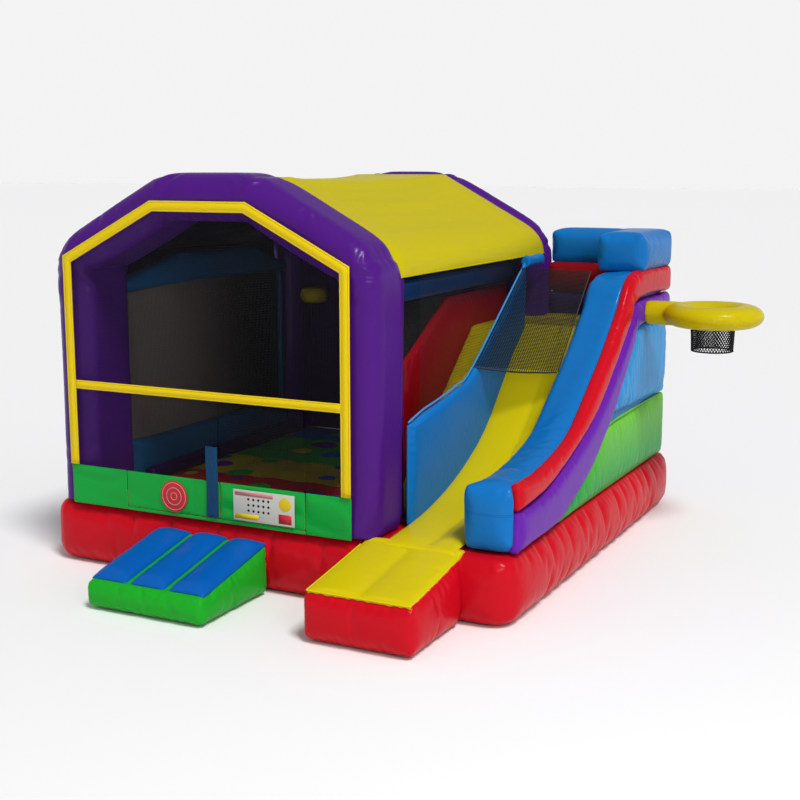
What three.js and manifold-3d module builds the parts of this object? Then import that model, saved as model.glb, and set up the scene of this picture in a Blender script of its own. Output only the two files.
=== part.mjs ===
// Inflatable bounce house with a climbing lane and a slide along its right side.
//
// House frame, in millimetres: +X right along the front, +Y towards the back, +Z up. Its zero is the
// foot of the window frame's left post, at ground height. The finished group is shifted so that its
// own origin is the bottom centre of the whole object's box.
//
// Every inflated chamber has its outer size. The large ones are hollow and open to the air: the base
// holds upright webs and an air inlet, and the columns and the outer wall are open at the foot, where
// the real ones are fed from the base. The small chambers are plain closed solids. Neighbouring
// pieces keep a small seam gap. A frontSlab's outline lies in XZ, a sideSlab's in YZ and a
// planSlab's in XY.

import * as THREE from 'three';
import Module from 'manifold-3d';
import { mergeVertices } from 'three/addons/utils/BufferGeometryUtils.js';

// ---- driving dimensions -------------------------------------------------------------------------
const GAP = 3;                 // seam gap between neighbouring chambers
const TOUCH = 0.3;             // gap between a piece and what it rests on

const BASE = { x0: -300, x1: 4720, y0: 30, y1: 5120, height: 630, corner: 300, round: 90 };
const FLOOR_THICK = 30;        // printed bounce floor on top of the base
const HOLLOW = { skin: 40, web: 20, cells: 8, duct: 300 };

const ARCH = {
  width: 3200,                 // across the window frame, outer edge to outer edge
  flare: 200,                  // how far the tube stands outside the window frame
  bulge: 200,                  // how far it stands inside
  eave: 3210,                  // height of the outer eave corner
  eaveInner: 2970,
  top: 3900,                   // height of the ridge beam's top
  topInner: 3460,
  flatStart: 1080,             // where the sloping rafter meets the ridge beam, from the frame's edge
  flatStartInner: 1150,
  eaveRound: 260,
  round: 190,
  roundRafter: 190,
};
const EAVE_STEPS = 6;
const SPARE = 100;             // how far a piece runs past the surface that cuts it to length
const FRONT_ARCH = { y0: 0, y1: 850 };
const REAR_ARCH = { y0: 4000, y1: 4700 };
const REAR_WALL = { front: 4400, back: 4460 };

const TRIM = { width: 100, eave: 3118, top: 3664, flatStart: 1070, barLow: 1807, barHigh: 1893 };
const SILL_TOP = 1030;
const NET_INSET = 30;          // how far the net's edge lies behind the frame's outer edge
const SCREEN = { front: -20, back: -6 };      // net and sill, just in front of the arch
const TRIM_FACE = { front: -32, back: -20.5 };
const DOOR = { left: 680, split: 1775, right: 2720, bottom: 668, top: 1798, clear: 3 };
const ZIP_COVER = { x0: 1636, x1: 1770, z0: 680, z1: 1370, front: -36, back: -29 };
const ZIP_SLIDER = { x: 1755, z: 700, width: 18, height: 36, front: -27.5, back: -20.5 };

const RAMP = { x0: 1040, x1: 2300, y0: -1110, y1: -GAP, frontHeight: 275, rearHeight: 500 };
const TREAD = { thick: 45, spans: [[1065, 1430], [1500, 1850], [1920, 2275]] };
const EXIT_PAD = { x0: 3260, x1: 4270, y0: -970, y1: 30 - TOUCH, frontHeight: 470, rearHeight: 615 };

const ROOF = { inset: 50, thick: 20, edgeHeight: 3000 };
const BAY = { y0: FRONT_ARCH.y1 + GAP, y1: REAR_ARCH.y0 - GAP };   // clear span between the two arches

const LEFT_WALL = { x0: -100, x1: 120, beamLow: 2683, beamHigh: 3070, panelTop: 1100 };
const MID_WALL = { x0: 3030, x1: 3170, beamLow: 2660, beamHigh: 2950, front: 1280, back: 3950,
  frontHigh: 2112, slopeEnd: 2310, net: [3064, 3076], panel: [3040, 3100] };
const LANE = { x0: 3105, x1: 3427 };                    // climbing lane
const DIVIDER = { x0: 3433, x1: 3499 };
const CHUTE = { x0: 3503, x1: 4197 };                   // slide lane
const OUTER_WALL = { x0: 4203, x1: 4640 };
const BAND = { x0: 4643, x1: 4735 };
const SIDE_PANEL = { x0: 4643, x1: 4700, split: 1370 };
const DECK = { y0: 3503, y1: 4380, low: 2000, high: 2285 };
const TOWER = { rear: 4950, railLow: 2863, railHigh: 3255, railFront: 3800, railX: 4200,
  railRound: 110, beamFront: 4400, wall: [4450, 4900] };
const LANE_NET = { x0: 3455, x1: 3465, top: 2982, thick: 10, clear: 14 };

const HOOP = { x: 5470, y: 3950, z: 2400, ring: 375, tube: 155, arm: 149 };
const HOOP_NET = { foot: 165, drop: 270, thick: 8 };
const SMALL_HOOP = { x: 388, y: 4190, z: 2382, ring: 118, tubeWide: 62, tubeHigh: 95 };

const SLEEVE = { x: 2600, z: 168, bore: 120, wall: 10, length: 479.7 };
const ANCHOR = { width: 50, bar: 5, loop: 9, skin: 5, plate: 120, ringHalf: 43, wire: 10, z: 260,
  drop: 12 };

// ---- materials ----------------------------------------------------------------------------------
function vinyl(color) {
  return new THREE.MeshStandardMaterial({ color, roughness: 0.45, metalness: 0 });
}

function netting() {
  return new THREE.MeshStandardMaterial({ color: 0x17171a, roughness: 0.85, metalness: 0 });
}

function steel() {
  return new THREE.MeshStandardMaterial({ color: 0xb9bcc0, roughness: 0.3, metalness: 1 });
}

const RED = 0xc4101f;
const PURPLE = 0x5a1e8c;
const YELLOW = 0xe3c70a;
const BLUE = 0x1f74c4;
const GREEN = 0x17a53a;
const WEBBING = 0x222226;

// ---- shape helpers ------------------------------------------------------------------------------
function shapeOf(outline) {
  return outline instanceof THREE.Shape
    ? outline
    : new THREE.Shape(outline.map(([u, v]) => new THREE.Vector2(u, v)));
}

const SMOOTH = { curveSegments: 8, bevelSegments: 3 };
const COARSE = { curveSegments: 5, bevelSegments: 1 };    // for hand-sized pieces

// A slab of the outline between two heights, its edges rounded by "round".
function slab(outline, low, high, round, detail = SMOOTH) {
  const geometry = new THREE.ExtrudeGeometry(shapeOf(outline), {
    depth: high - low - 2 * round,
    steps: 1,
    bevelEnabled: round > 0,
    bevelThickness: round,
    bevelSize: round,
    bevelOffset: -round,
    ...detail,
  });
  geometry.translate(0, 0, low + round);
  return geometry;
}

const FRONT_AXES = new THREE.Matrix4().makeBasis(
  new THREE.Vector3(1, 0, 0), new THREE.Vector3(0, 0, 1), new THREE.Vector3(0, -1, 0));
const SIDE_AXES = new THREE.Matrix4().makeBasis(
  new THREE.Vector3(0, 1, 0), new THREE.Vector3(0, 0, 1), new THREE.Vector3(1, 0, 0));

// XZ outline, extruded along Y.
function frontSlab(outline, y0, y1, round = 0) {
  return slab(outline, -y1, -y0, round).applyMatrix4(FRONT_AXES);
}

// YZ outline, extruded along X.
function sideSlab(outline, x0, x1, round = 0) {
  return slab(outline, x0, x1, round).applyMatrix4(SIDE_AXES);
}

// XY outline, extruded along Z.
function planSlab(outline, z0, z1, round = 0) {
  return slab(outline, z0, z1, round);
}

function rectangle(u0, v0, u1, v1) {
  return [[u0, v0], [u1, v0], [u1, v1], [u0, v1]];
}

function roundedRectangle(u0, v0, u1, v1, radius) {
  const shape = new THREE.Shape();
  shape.moveTo(u0 + radius, v0);
  shape.lineTo(u1 - radius, v0);
  shape.absarc(u1 - radius, v0 + radius, radius, -Math.PI / 2, 0);
  shape.lineTo(u1, v1 - radius);
  shape.absarc(u1 - radius, v1 - radius, radius, 0, Math.PI / 2);
  shape.lineTo(u0 + radius, v1);
  shape.absarc(u0 + radius, v1 - radius, radius, Math.PI / 2, Math.PI);
  shape.lineTo(u0, v0 + radius);
  shape.absarc(u0 + radius, v0 + radius, radius, Math.PI, Math.PI * 1.5);
  return shape;
}

// The open line moved sideways by "distance", to the right of its direction of travel.
function shiftedLine(points, distance) {
  const line = points.map(([u, v]) => new THREE.Vector2(u, v));
  return line.map((point, i) => {
    const before = line[Math.max(i - 1, 0)];
    const after = line[Math.min(i + 1, line.length - 1)];
    const incoming = point.clone().sub(i > 0 ? before : after).normalize();
    if (i === 0) {
      incoming.negate();
    }
    const outgoing = i < line.length - 1 ? after.clone().sub(point).normalize() : incoming;
    const mitre = incoming.clone().add(outgoing).normalize();
    const stretch = distance / mitre.dot(incoming);
    return [point.x + mitre.y * stretch, point.y - mitre.x * stretch];
  });
}

// Points along a smooth curve through the given ones.
function smoothLine(points, count) {
  const curve = new THREE.SplineCurve(points.map(([u, v]) => new THREE.Vector2(u, v)));
  return curve.getPoints(count).map((point) => [point.x, point.y]);
}

const wasm = await Module();
wasm.setup();

function toManifold(geometry) {
  const bare = geometry.clone();
  bare.deleteAttribute('normal');
  bare.deleteAttribute('uv');
  const merged = mergeVertices(bare, 1e-3);
  return new wasm.Manifold(new wasm.Mesh({
    numProp: 3,
    vertProperties: new Float32Array(merged.attributes.position.array),
    triVerts: new Uint32Array(merged.index.array),
  }));
}

function fromManifold(solid) {
  const mesh = solid.getMesh();
  const geometry = new THREE.BufferGeometry();
  geometry.setAttribute('position', new THREE.BufferAttribute(mesh.vertProperties, 3));
  geometry.setIndex(new THREE.BufferAttribute(mesh.triVerts, 1));
  geometry.computeVertexNormals();
  return geometry;
}

function joined(first, second) {
  return fromManifold(toManifold(first).add(toManifold(second)));
}

function common(first, second) {
  return fromManifold(toManifold(first).intersect(toManifold(second)));
}

function cut(first, second) {
  return fromManifold(toManifold(first).subtract(toManifold(second)));
}

// ---- the group ----------------------------------------------------------------------------------
const house = new THREE.Group();

function add(name, geometry, material, parent = house) {
  const mesh = new THREE.Mesh(geometry, material);
  mesh.name = name;
  parent.add(mesh);
  return mesh;
}

// ---- base, floor, pads --------------------------------------------------------------------------
// The base's air space: long cells between upright webs, open to each other through a duct at the
// rear, which the air inlet leads into.
function baseAirSpace() {
  const { skin, web, cells, duct } = HOLLOW;
  const { x0, x1, y0, y1, corner, height } = BASE;
  const cell = (x1 - x0) / cells;
  const comb = [[x1, y1], [x0, y1]];
  for (let i = 0; i < cells; i += 1) {
    const left = x0 + i * cell + web / 2;
    comb.push([left, y1 - duct], [left, y0], [left + cell - web, y0], [left + cell - web, y1 - duct]);
  }
  const inside = roundedRectangle(x0 + skin, y0 + skin, x1 - skin, y1 - skin, corner - skin);
  const cellSpace = common(planSlab(comb, skin, height - skin), planSlab(inside, skin, height - skin));
  const inlet = new THREE.CylinderGeometry(SLEEVE.bore, SLEEVE.bore, 4 * skin, 24);
  inlet.translate(SLEEVE.x, y1, SLEEVE.z);
  return joined(cellSpace, inlet);
}

function addBase() {
  const plan = roundedRectangle(BASE.x0, BASE.y0, BASE.x1, BASE.y1, BASE.corner);
  const outside = planSlab(plan, 0, BASE.height, BASE.round);
  add('house_base', cut(outside, baseAirSpace()), vinyl(RED));
  const floor = rectangle(ARCH.bulge, BAY.y0, ARCH.width - ARCH.bulge, REAR_WALL.front - 20);
  const low = BASE.height + TOUCH;
  add('bounce_floor', planSlab(floor, low, low + FLOOR_THICK), vinyl(GREEN));
}

function addExitPad() {
  const { y0, y1, frontHeight, rearHeight } = EXIT_PAD;
  const side = [[y1, 0], [y1, rearHeight], [y0 + 110, frontHeight], [y0, frontHeight - 110],
    [y0, 90], [y0 + 60, 0]];
  add('exit_pad', sideSlab(side, EXIT_PAD.x0, EXIT_PAD.x1, 70), vinyl(RED));
}

function addRamp() {
  const { y0, y1, frontHeight, rearHeight } = RAMP;
  const side = [[y1, 0], [y1, rearHeight], [y0 + 60, frontHeight], [y0, frontHeight - 60],
    [y0, 50], [y0 + 40, 0]];
  add('ramp_body', sideSlab(side, RAMP.x0, RAMP.x1, 50), vinyl(GREEN));
  const slope = (rearHeight - frontHeight) / (y1 - y0 - 60);
  const surface = (y) => frontHeight + slope * (y - y0 - 60) + TOUCH;
  const near = y0 + 75;
  const far = y1 - 10;
  const tread = [[near, surface(near)], [far, surface(far)], [far, surface(far) + TREAD.thick],
    [near, surface(near) + TREAD.thick]];
  ['left', 'middle', 'right'].forEach((where, i) => {
    const [x0, x1] = TREAD.spans[i];
    add(`ramp_tread_${where}`, sideSlab(tread, x0, x1, 15), vinyl(BLUE));
  });
}

// ---- arches -------------------------------------------------------------------------------------
function mirrored(points) {
  return points.map(([x, z]) => [ARCH.width - x, z]).reverse();
}

// The arch's outer line on the left, from the foot over the rounded eave to the ridge beam.
function archOuterLine() {
  const rise = (ARCH.top - ARCH.eave) / (ARCH.flatStart + ARCH.flare);
  const corner = new THREE.Vector2(-ARCH.flare, ARCH.eave);
  const below = new THREE.Vector2(corner.x, corner.y - ARCH.eaveRound);
  const along = new THREE.Vector2(corner.x + ARCH.eaveRound, corner.y + ARCH.eaveRound * rise);
  const eave = new THREE.QuadraticBezierCurve(below, corner, along).getPoints(EAVE_STEPS)
    .map((point) => [point.x, point.y]);
  return [[-ARCH.flare, BASE.height], ...eave, [ARCH.flatStart, ARCH.top]];
}

// A point on the line from "outer" through "inner", a little past "inner".
function pastInner(inner, outer) {
  return inner.map((value, i) => value + (value - outer[i]) * 0.2);
}

// Front outlines that cut one arch's tubes to length: the left column, the left rafter and the
// ridge beam, meeting on mitre lines.
function archCuts() {
  const outer = shiftedLine(archOuterLine(), -2);
  const middle = 1 + EAVE_STEPS / 2;
  const ridge = outer[outer.length - 1];
  const eaveInner = pastInner([ARCH.bulge, ARCH.eaveInner], outer[middle]);
  const ridgeInner = pastInner([ARCH.flatStartInner, ARCH.topInner], ridge);
  const foot = [ARCH.bulge + 50, BASE.height];
  const lowered = (points) => points.map(([x, z]) => [x, z > foot[1] ? z - GAP : z]);
  const narrowed = (points) => points.map(([x, z]) => [x + GAP, z]);
  const half = narrowed([ridge, ridgeInner]);
  return {
    column: lowered([foot, eaveInner, ...outer.slice(0, middle + 1).reverse()]),
    rafter: [eaveInner, ridgeInner, ...outer.slice(middle).reverse()],
    ridge: [...half, ...mirrored(half)],
  };
}

// The left rafter's tube before it is cut: a rounded section along the slope.
function rafterTube(y0, y1) {
  const eave = new THREE.Vector2(-ARCH.flare, ARCH.eave);
  const ridge = new THREE.Vector2(ARCH.flatStart, ARCH.top);
  const along = ridge.clone().sub(eave).normalize();
  const inward = new THREE.Vector2(along.y, -along.x);
  const inner = new THREE.Vector2(ARCH.bulge, ARCH.eaveInner).sub(eave).dot(inward);
  const section = roundedRectangle(0, y0, inner, y1, ARCH.roundRafter);
  return slab(section, -4 * SPARE, ridge.distanceTo(eave) + 4 * SPARE, 0).applyMatrix4(
    new THREE.Matrix4().makeBasis(new THREE.Vector3(inward.x, 0, inward.y),
      new THREE.Vector3(0, 1, 0), new THREE.Vector3(along.x, 0, along.y))
      .setPosition(eave.x, 0, eave.y));
}

// The arch is symmetric, so a right-hand piece is its left-hand one seen from behind.
function addArch(label, { y0, y1 }) {
  const cuts = archCuts();
  const cutter = (outline) => frontSlab(outline, y0 - 10, y1 + 10);
  const columnPlan = (inset) => roundedRectangle(-ARCH.flare + inset, y0 + inset,
    ARCH.bulge - inset, y1 - inset, ARCH.round - inset);
  const tube = planSlab(columnPlan(0), BASE.height + TOUCH, ARCH.eave + SPARE);
  const airSpace = planSlab(columnPlan(HOLLOW.skin), BASE.height - SPARE, ARCH.eaveInner - SPARE);
  const column = cut(common(tube, cutter(cuts.column)), airSpace);
  const rafter = common(rafterTube(y0, y1), cutter(cuts.rafter));
  const section = roundedRectangle(y0, ARCH.topInner, y1, ARCH.top, ARCH.roundRafter);
  const beam = sideSlab(section, ARCH.flatStart - SPARE, ARCH.width - ARCH.flatStart + SPARE);
  const turned = (geometry) => geometry.clone().rotateZ(Math.PI)
    .translate(ARCH.width, y0 + y1, 0);
  add(`${label}_column_left`, column, vinyl(PURPLE));
  add(`${label}_rafter_left`, rafter, vinyl(PURPLE));
  add(`${label}_ridge`, common(beam, cutter(cuts.ridge)), vinyl(PURPLE));
  add(`${label}_rafter_right`, turned(rafter), vinyl(PURPLE));
  add(`${label}_column_right`, turned(column), vinyl(PURPLE));
}

// ---- roof ---------------------------------------------------------------------------------------
function addRoof() {
  const left = [[-ARCH.flare + 2, ROOF.edgeHeight + 10], ...archOuterLine().slice(3)];
  const outer = [...left, ...mirrored(left)];
  const top = shiftedLine(outer, ROOF.inset);
  const under = shiftedLine(outer, ROOF.inset + ROOF.thick);
  add('roof_sheet', frontSlab([...under, ...top.reverse()], BAY.y0, BAY.y1), vinyl(YELLOW));
}

// ---- front screen -------------------------------------------------------------------------------
// The window frame's outline, from the left foot over the gable to the right foot.
function gableLine(foot) {
  const left = [[0, foot], [0, TRIM.eave], [TRIM.flatStart, TRIM.top]];
  return [...left, ...mirrored(left)];
}

function addWindowFrame() {
  const foot = SILL_TOP + GAP;
  const outer = gableLine(foot);
  const inner = shiftedLine(gableLine(TRIM.barHigh), TRIM.width);
  const right = ARCH.width - TRIM.width;
  const outline = [...outer, [right, foot], [right, TRIM.barLow], [TRIM.width, TRIM.barLow],
    [TRIM.width, foot]];
  const frame = frontSlab(outline, TRIM_FACE.front, TRIM_FACE.back);
  const window = frontSlab(inner, TRIM_FACE.front - 1, TRIM_FACE.back + 1);
  add('window_frame', cut(frame, window), vinyl(YELLOW));
}

function addFrontScreen() {
  const foot = SILL_TOP + GAP;
  const gable = shiftedLine(gableLine(foot), NET_INSET);
  const notch = [[DOOR.right + DOOR.clear, foot], [DOOR.right + DOOR.clear, DOOR.top + GAP],
    [DOOR.left - DOOR.clear, DOOR.top + GAP], [DOOR.left - DOOR.clear, foot]];
  add('front_net', frontSlab([...gable, ...notch], SCREEN.front, SCREEN.back), netting());
  const low = BASE.height + 2;
  const step = DOOR.bottom - GAP;
  const sill = [[0, low], [ARCH.width, low], [ARCH.width, SILL_TOP],
    [DOOR.right + DOOR.clear, SILL_TOP], [DOOR.right + DOOR.clear, step],
    [DOOR.left - DOOR.clear, step], [DOOR.left - DOOR.clear, SILL_TOP], [0, SILL_TOP]];
  add('front_sill', frontSlab(sill, SCREEN.front, SCREEN.back), vinyl(GREEN));
}

function addDoorLeaf(side, x0, x1) {
  const flap = rectangle(x0, DOOR.bottom, x1, SILL_TOP);
  const net = rectangle(x0, SILL_TOP + TOUCH, x1, DOOR.top);
  add(`door_flap_${side}`, frontSlab(flap, SCREEN.front, SCREEN.back), vinyl(GREEN));
  add(`door_net_${side}`, frontSlab(net, SCREEN.front, SCREEN.back), netting());
}

function addDoor() {
  addDoorLeaf('left', DOOR.left + DOOR.clear, DOOR.split - DOOR.clear);
  addDoorLeaf('right', DOOR.split + DOOR.clear, DOOR.right - DOOR.clear);
  const cover = rectangle(ZIP_COVER.x0, ZIP_COVER.z0, ZIP_COVER.x1, ZIP_COVER.z1);
  add('zip_cover', frontSlab(cover, ZIP_COVER.front, ZIP_COVER.back), vinyl(BLUE));
  const { x, z, width, height } = ZIP_SLIDER;
  const slider = rectangle(x - width / 2, z, x + width / 2, z + height);
  add('zip_slider', frontSlab(slider, ZIP_SLIDER.front, ZIP_SLIDER.back, 1.5), steel());
}

// ---- bounce room walls --------------------------------------------------------------------------
function addLeftWall() {
  const { x0, x1, beamLow, beamHigh, panelTop } = LEFT_WALL;
  const beam = [[BAY.y0, beamLow], [BAY.y1, beamLow], [BAY.y1, beamLow + 110], [3300, beamHigh],
    [1850, beamHigh], [BAY.y0, beamLow + 110]];
  add('left_beam', sideSlab(beam, x0, x1, 50), vinyl(BLUE));
  const net = rectangle(BAY.y0, panelTop + GAP, BAY.y1, beamLow - GAP);
  add('left_net', sideSlab(net, -12, 0), netting());
  const panel = rectangle(BAY.y0, BASE.height + TOUCH, BAY.y1, panelTop);
  add('left_panel', sideSlab(panel, x0, x1, 50), vinyl(BLUE));
}

function addRearWall() {
  const left = [[ARCH.bulge + GAP, BASE.height + TOUCH], [ARCH.bulge + GAP, ARCH.eaveInner - 10],
    [ARCH.flatStartInner, ARCH.topInner - 10]];
  const wall = frontSlab([...left, ...mirrored(left)], REAR_WALL.front, REAR_WALL.back);
  add('rear_wall', wall, vinyl(PURPLE));
}

function addMidWall() {
  const { x0, x1, beamLow, beamHigh, front, back, frontHigh, slopeEnd } = MID_WALL;
  const beam = rectangle(BAY.y0, beamLow, BAY.y1, beamHigh);
  add('mid_beam', sideSlab(beam, x0, x1, 50), vinyl(BLUE));
  const under = beamLow - GAP;
  const netLow = frontHigh + 8;
  const net = [[BAY.y0, under], [BAY.y0, netLow], [front, netLow], [slopeEnd - 20, under]];
  add('mid_net', sideSlab(net, ...MID_WALL.net), netting());
  const wall = [[front, BASE.height + TOUCH], [back, BASE.height + TOUCH], [back, under],
    [slopeEnd, under], [front, frontHigh]];
  add('climb_wall', sideSlab(wall, ...MID_WALL.panel), vinyl(RED));
}

// ---- climbing lane and slide --------------------------------------------------------------------
const COLUMN_FACE = ARCH.width + ARCH.flare + GAP;
const CLIMB_FOOT = [965, 720];
const CLIMB_TOP = [2870, 2285];
const CHUTE_LINE = [[60, 665], [760, 710], [1340, 830], [1800, 990], [2190, 1180], [2490, 1400],
  [2900, 1790], [3200, 2060], [3497, 2262]];
const DIVIDER_LINE = [[600, 1635], [700, 1660], [953, 1715], [1200, 1745], [1700, 1830],
  [2080, 1950], [3420, 2850]];
const RAIL_LINE = [[150, 1262], [700, 1262], [1230, 1330], [1650, 1440], [1940, 1590], [2310, 1840],
  [2710, 2120], [3190, 2520], [3620, 2857], [4950, 2857]];
const BORDER_LINE = [[150, 1000], [900, 1060], [1520, 1220], [1960, 1370], [2340, 1540],
  [2730, 1800], [3060, 2050], [3480, 2380], [3740, 2550], [4950, 2550]];
const SKIRT_LINE = [[950, 634], [1270, 656], [1700, 780], [2220, 1000], [2690, 1300], [3020, 1540],
  [3270, 1780], [3600, 2090], [3800, 2250], [4950, 2250]];

function addClimbLane() {
  const low = BASE.height + TOUCH;
  const [footY, footZ] = CLIMB_FOOT;
  const [topY, topZ] = CLIMB_TOP;
  const side = [[footY, low], [1420, low], [3000, DECK.low], [DECK.y0 - GAP, DECK.low],
    [DECK.y0 - GAP, topZ], [topY, topZ], [footY, footZ]];
  add('climb_ramp', sideSlab(side, LANE.x0, LANE.x1), vinyl(YELLOW));
  const plan = [[LANE.x0, DECK.y0], [CHUTE.x1, DECK.y0], [CHUTE.x1, DECK.y1],
    [COLUMN_FACE, DECK.y1], [COLUMN_FACE, BAY.y1], [LANE.x0, BAY.y1]];
  add('platform_deck', planSlab(plan, DECK.low, DECK.high), vinyl(YELLOW));
}

function addSlide() {
  const low = BASE.height + TOUCH;
  const bed = [[60, low], [1650, low], [2250, 880], [3000, 1520], [3497, 1960],
    ...smoothLine(CHUTE_LINE, 20).reverse()];
  add('slide_bed', sideSlab(bed, CHUTE.x0, CHUTE.x1), vinyl(YELLOW));
  const divider = [[DIVIDER_LINE[0][0], low], [3500, low], [3500, 2870], [BAY.y1, 2870], [BAY.y1, 2975],
    [3540, 2975], ...smoothLine(DIVIDER_LINE, 10).reverse()];
  add('slide_divider', sideSlab(divider, DIVIDER.x0, DIVIDER.x1), vinyl(BLUE));
}

// A band on the tower's side between an upper and a lower edge line.
function bandOutline(upper, lower) {
  return [...lower, ...upper.slice().reverse()];
}

function addOuterWall() {
  const low = BASE.height + TOUCH;
  const lift = (line, distance) => line.map(([y, z]) => [y, z + distance]);
  const [[front]] = RAIL_LINE;
  const { skin } = HOLLOW;
  const { x0, x1 } = OUTER_WALL;
  const wall = [[front, low], [TOWER.rear, low], ...RAIL_LINE.slice().reverse()];
  const inner = lift(RAIL_LINE, -1.5 * skin)
    .map(([y, z]) => [THREE.MathUtils.clamp(y, front + skin, TOWER.rear - skin), z]);
  const air = [[front + skin, low - skin], [TOWER.rear - skin, low - skin], ...inner.reverse()];
  const airSpace = sideSlab(air, x0 + skin, x1 - skin);
  add('slide_outer_wall', cut(sideSlab(wall, x0, x1, 60), airSpace), vinyl(BLUE));
  const red = bandOutline(RAIL_LINE, lift(BORDER_LINE, GAP));
  add('side_band_red', sideSlab(red, BAND.x0, BAND.x1, 30), vinyl(RED));
  const purple = bandOutline(BORDER_LINE, [[front, low + GAP], ...lift(SKIRT_LINE, GAP)]);
  add('side_band_purple', sideSlab(purple, BAND.x0, BAND.x1, 30), vinyl(PURPLE));
}

// Where a rising line reaches a height.
function reachOf(line, height) {
  const next = line.findIndex(([, z]) => z > height);
  const [[y0, z0], [y1, z1]] = line.slice(next - 1, next + 1);
  return y0 + (y1 - y0) * (height - z0) / (z1 - z0);
}

function addSidePanels() {
  const { x0, x1, split } = SIDE_PANEL;
  const skirt = SKIRT_LINE.filter(([, z]) => z > split);
  const meet = reachOf(SKIRT_LINE, split);
  const upper = [[meet, split], [TOWER.rear, split], ...skirt.slice().reverse()];
  add('side_panel_blue', sideSlab(upper, x0, x1, 15), vinyl(BLUE));
  const lower = SKIRT_LINE.filter(([, z]) => z < split);
  const green = [[1290, BASE.height + TOUCH], [TOWER.rear, BASE.height + TOUCH],
    [TOWER.rear, split - GAP], [meet, split - GAP], ...lower.slice(2).reverse()];
  add('side_panel_green', sideSlab(green, x0, x1, 15), vinyl(GREEN));
}

function addTowerTop() {
  const { rear, railLow, railHigh, railFront, railX, railRound, beamFront } = TOWER;
  const rail = rectangle(railX, railLow, BAND.x1, railHigh);
  add('tower_rail_side', frontSlab(rail, railFront, rear, railRound), vinyl(BLUE));
  const beam = rectangle(beamFront, railLow, rear, railHigh);
  add('tower_rail_rear', sideSlab(beam, COLUMN_FACE, railX - GAP, railRound), vinyl(BLUE));
  const wall = rectangle(COLUMN_FACE, BASE.height + TOUCH, CHUTE.x1, railLow - GAP);
  add('tower_rear_wall', frontSlab(wall, ...TOWER.wall, 60), vinyl(PURPLE));
}

// ---- safety nets over the lanes -----------------------------------------------------------------
function addLaneNets() {
  const { x0, x1, top, thick, clear } = LANE_NET;
  const edge = DIVIDER_LINE.map(([y, z]) => [y, z + clear]);
  const side = [[BAY.y0 + GAP, 1712 + clear], ...edge.slice(3, 6), [3400, 2860], [3480, top],
    [BAY.y0 + GAP, top]];
  add('side_net', sideSlab(side, x0, x1), netting());
  const line = [[2150, 2015], [3440, 2882], [3900, 2905], [3985, 2905]];
  const above = line.map(([y, z]) => [y, z + thick]);
  add('canopy_net', sideSlab([...line, ...above.reverse()], CHUTE.x0, CHUTE.x1), netting());
}

// ---- basketball hoops ---------------------------------------------------------------------------
function lieAlongX(geometry) {
  return geometry.rotateZ(-Math.PI / 2);
}

function netFunnel(topRadius, bottomRadius, height, wall) {
  const profile = [[bottomRadius - wall, -height], [bottomRadius, -height], [topRadius, 0],
    [topRadius - wall, 0], [bottomRadius - wall, -height]];
  return new THREE.LatheGeometry(profile.map(([r, z]) => new THREE.Vector2(r, z)), 24)
    .rotateX(Math.PI / 2);
}

function addHoops() {
  const armStart = BAND.x1 + TOUCH;
  const armEnd = HOOP.x - HOOP.ring;
  const arm = lieAlongX(new THREE.CylinderGeometry(HOOP.arm, HOOP.arm, armEnd - armStart, 20));
  arm.translate((armStart + armEnd) / 2, HOOP.y, HOOP.z);
  const ring = new THREE.TorusGeometry(HOOP.ring, HOOP.tube, 12, 28);
  ring.translate(HOOP.x, HOOP.y, HOOP.z);
  add('hoop', joined(ring, arm), vinyl(YELLOW));
  const { foot, drop, thick } = HOOP_NET;
  const net = netFunnel(HOOP.ring - HOOP.tube + 5, foot, drop, thick);
  net.translate(HOOP.x, HOOP.y, HOOP.z - HOOP.tube - 1);
  add('hoop_net', net, netting());
  addSmallHoop();
}

function addSmallHoop() {
  const { x, y, z, ring, tubeWide, tubeHigh } = SMALL_HOOP;
  const ellipse = new THREE.EllipseCurve(ring, 0, tubeWide, tubeHigh, 0, Math.PI * 2)
    .getPoints(12);
  const rim = new THREE.LatheGeometry(ellipse, 20).rotateX(Math.PI / 2);
  const stubStart = y + ring + tubeWide * 0.4;
  const stubEnd = REAR_WALL.front - TOUCH;
  const stub = new THREE.CylinderGeometry(tubeWide, tubeWide, stubEnd - stubStart, 16);
  rim.translate(x, y, z);
  stub.translate(x, (stubStart + stubEnd) / 2, z);
  add('small_hoop', joined(rim, stub), vinyl(YELLOW));
}

// ---- inflation sleeve and anchor rings ----------------------------------------------------------
function addSleeve() {
  const { bore, wall, length } = SLEEVE;
  const profile = [[bore, 0], [bore + wall, 0], [bore + wall, length], [bore, length], [bore, 0]];
  const tube = new THREE.LatheGeometry(profile.map(([r, v]) => new THREE.Vector2(r, v)), 16);
  const sleeve = add('inflation_sleeve', tube, vinyl(RED));
  sleeve.position.set(SLEEVE.x, BASE.y1 + TOUCH, SLEEVE.z);
}

// Webbing tab whose lower end loops round the ring's bar. Local X points away from the wall.
function anchorTab() {
  const { loop, skin, plate, width } = ANCHOR;
  const radius = loop + skin;
  const start = Math.acos((skin - radius) / radius);
  const outline = new THREE.Shape();
  outline.moveTo(0, plate);
  outline.lineTo(0, 0);
  outline.absarc(radius, 0, radius, Math.PI, start + Math.PI * 2, false);
  outline.lineTo(skin, plate);
  const eye = new THREE.Path();
  eye.absarc(radius, 0, loop, 0, Math.PI * 2, true);
  outline.holes.push(eye);
  return slab(outline, -width / 2, width / 2, 0, COARSE).applyMatrix4(FRONT_AXES);
}

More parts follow.
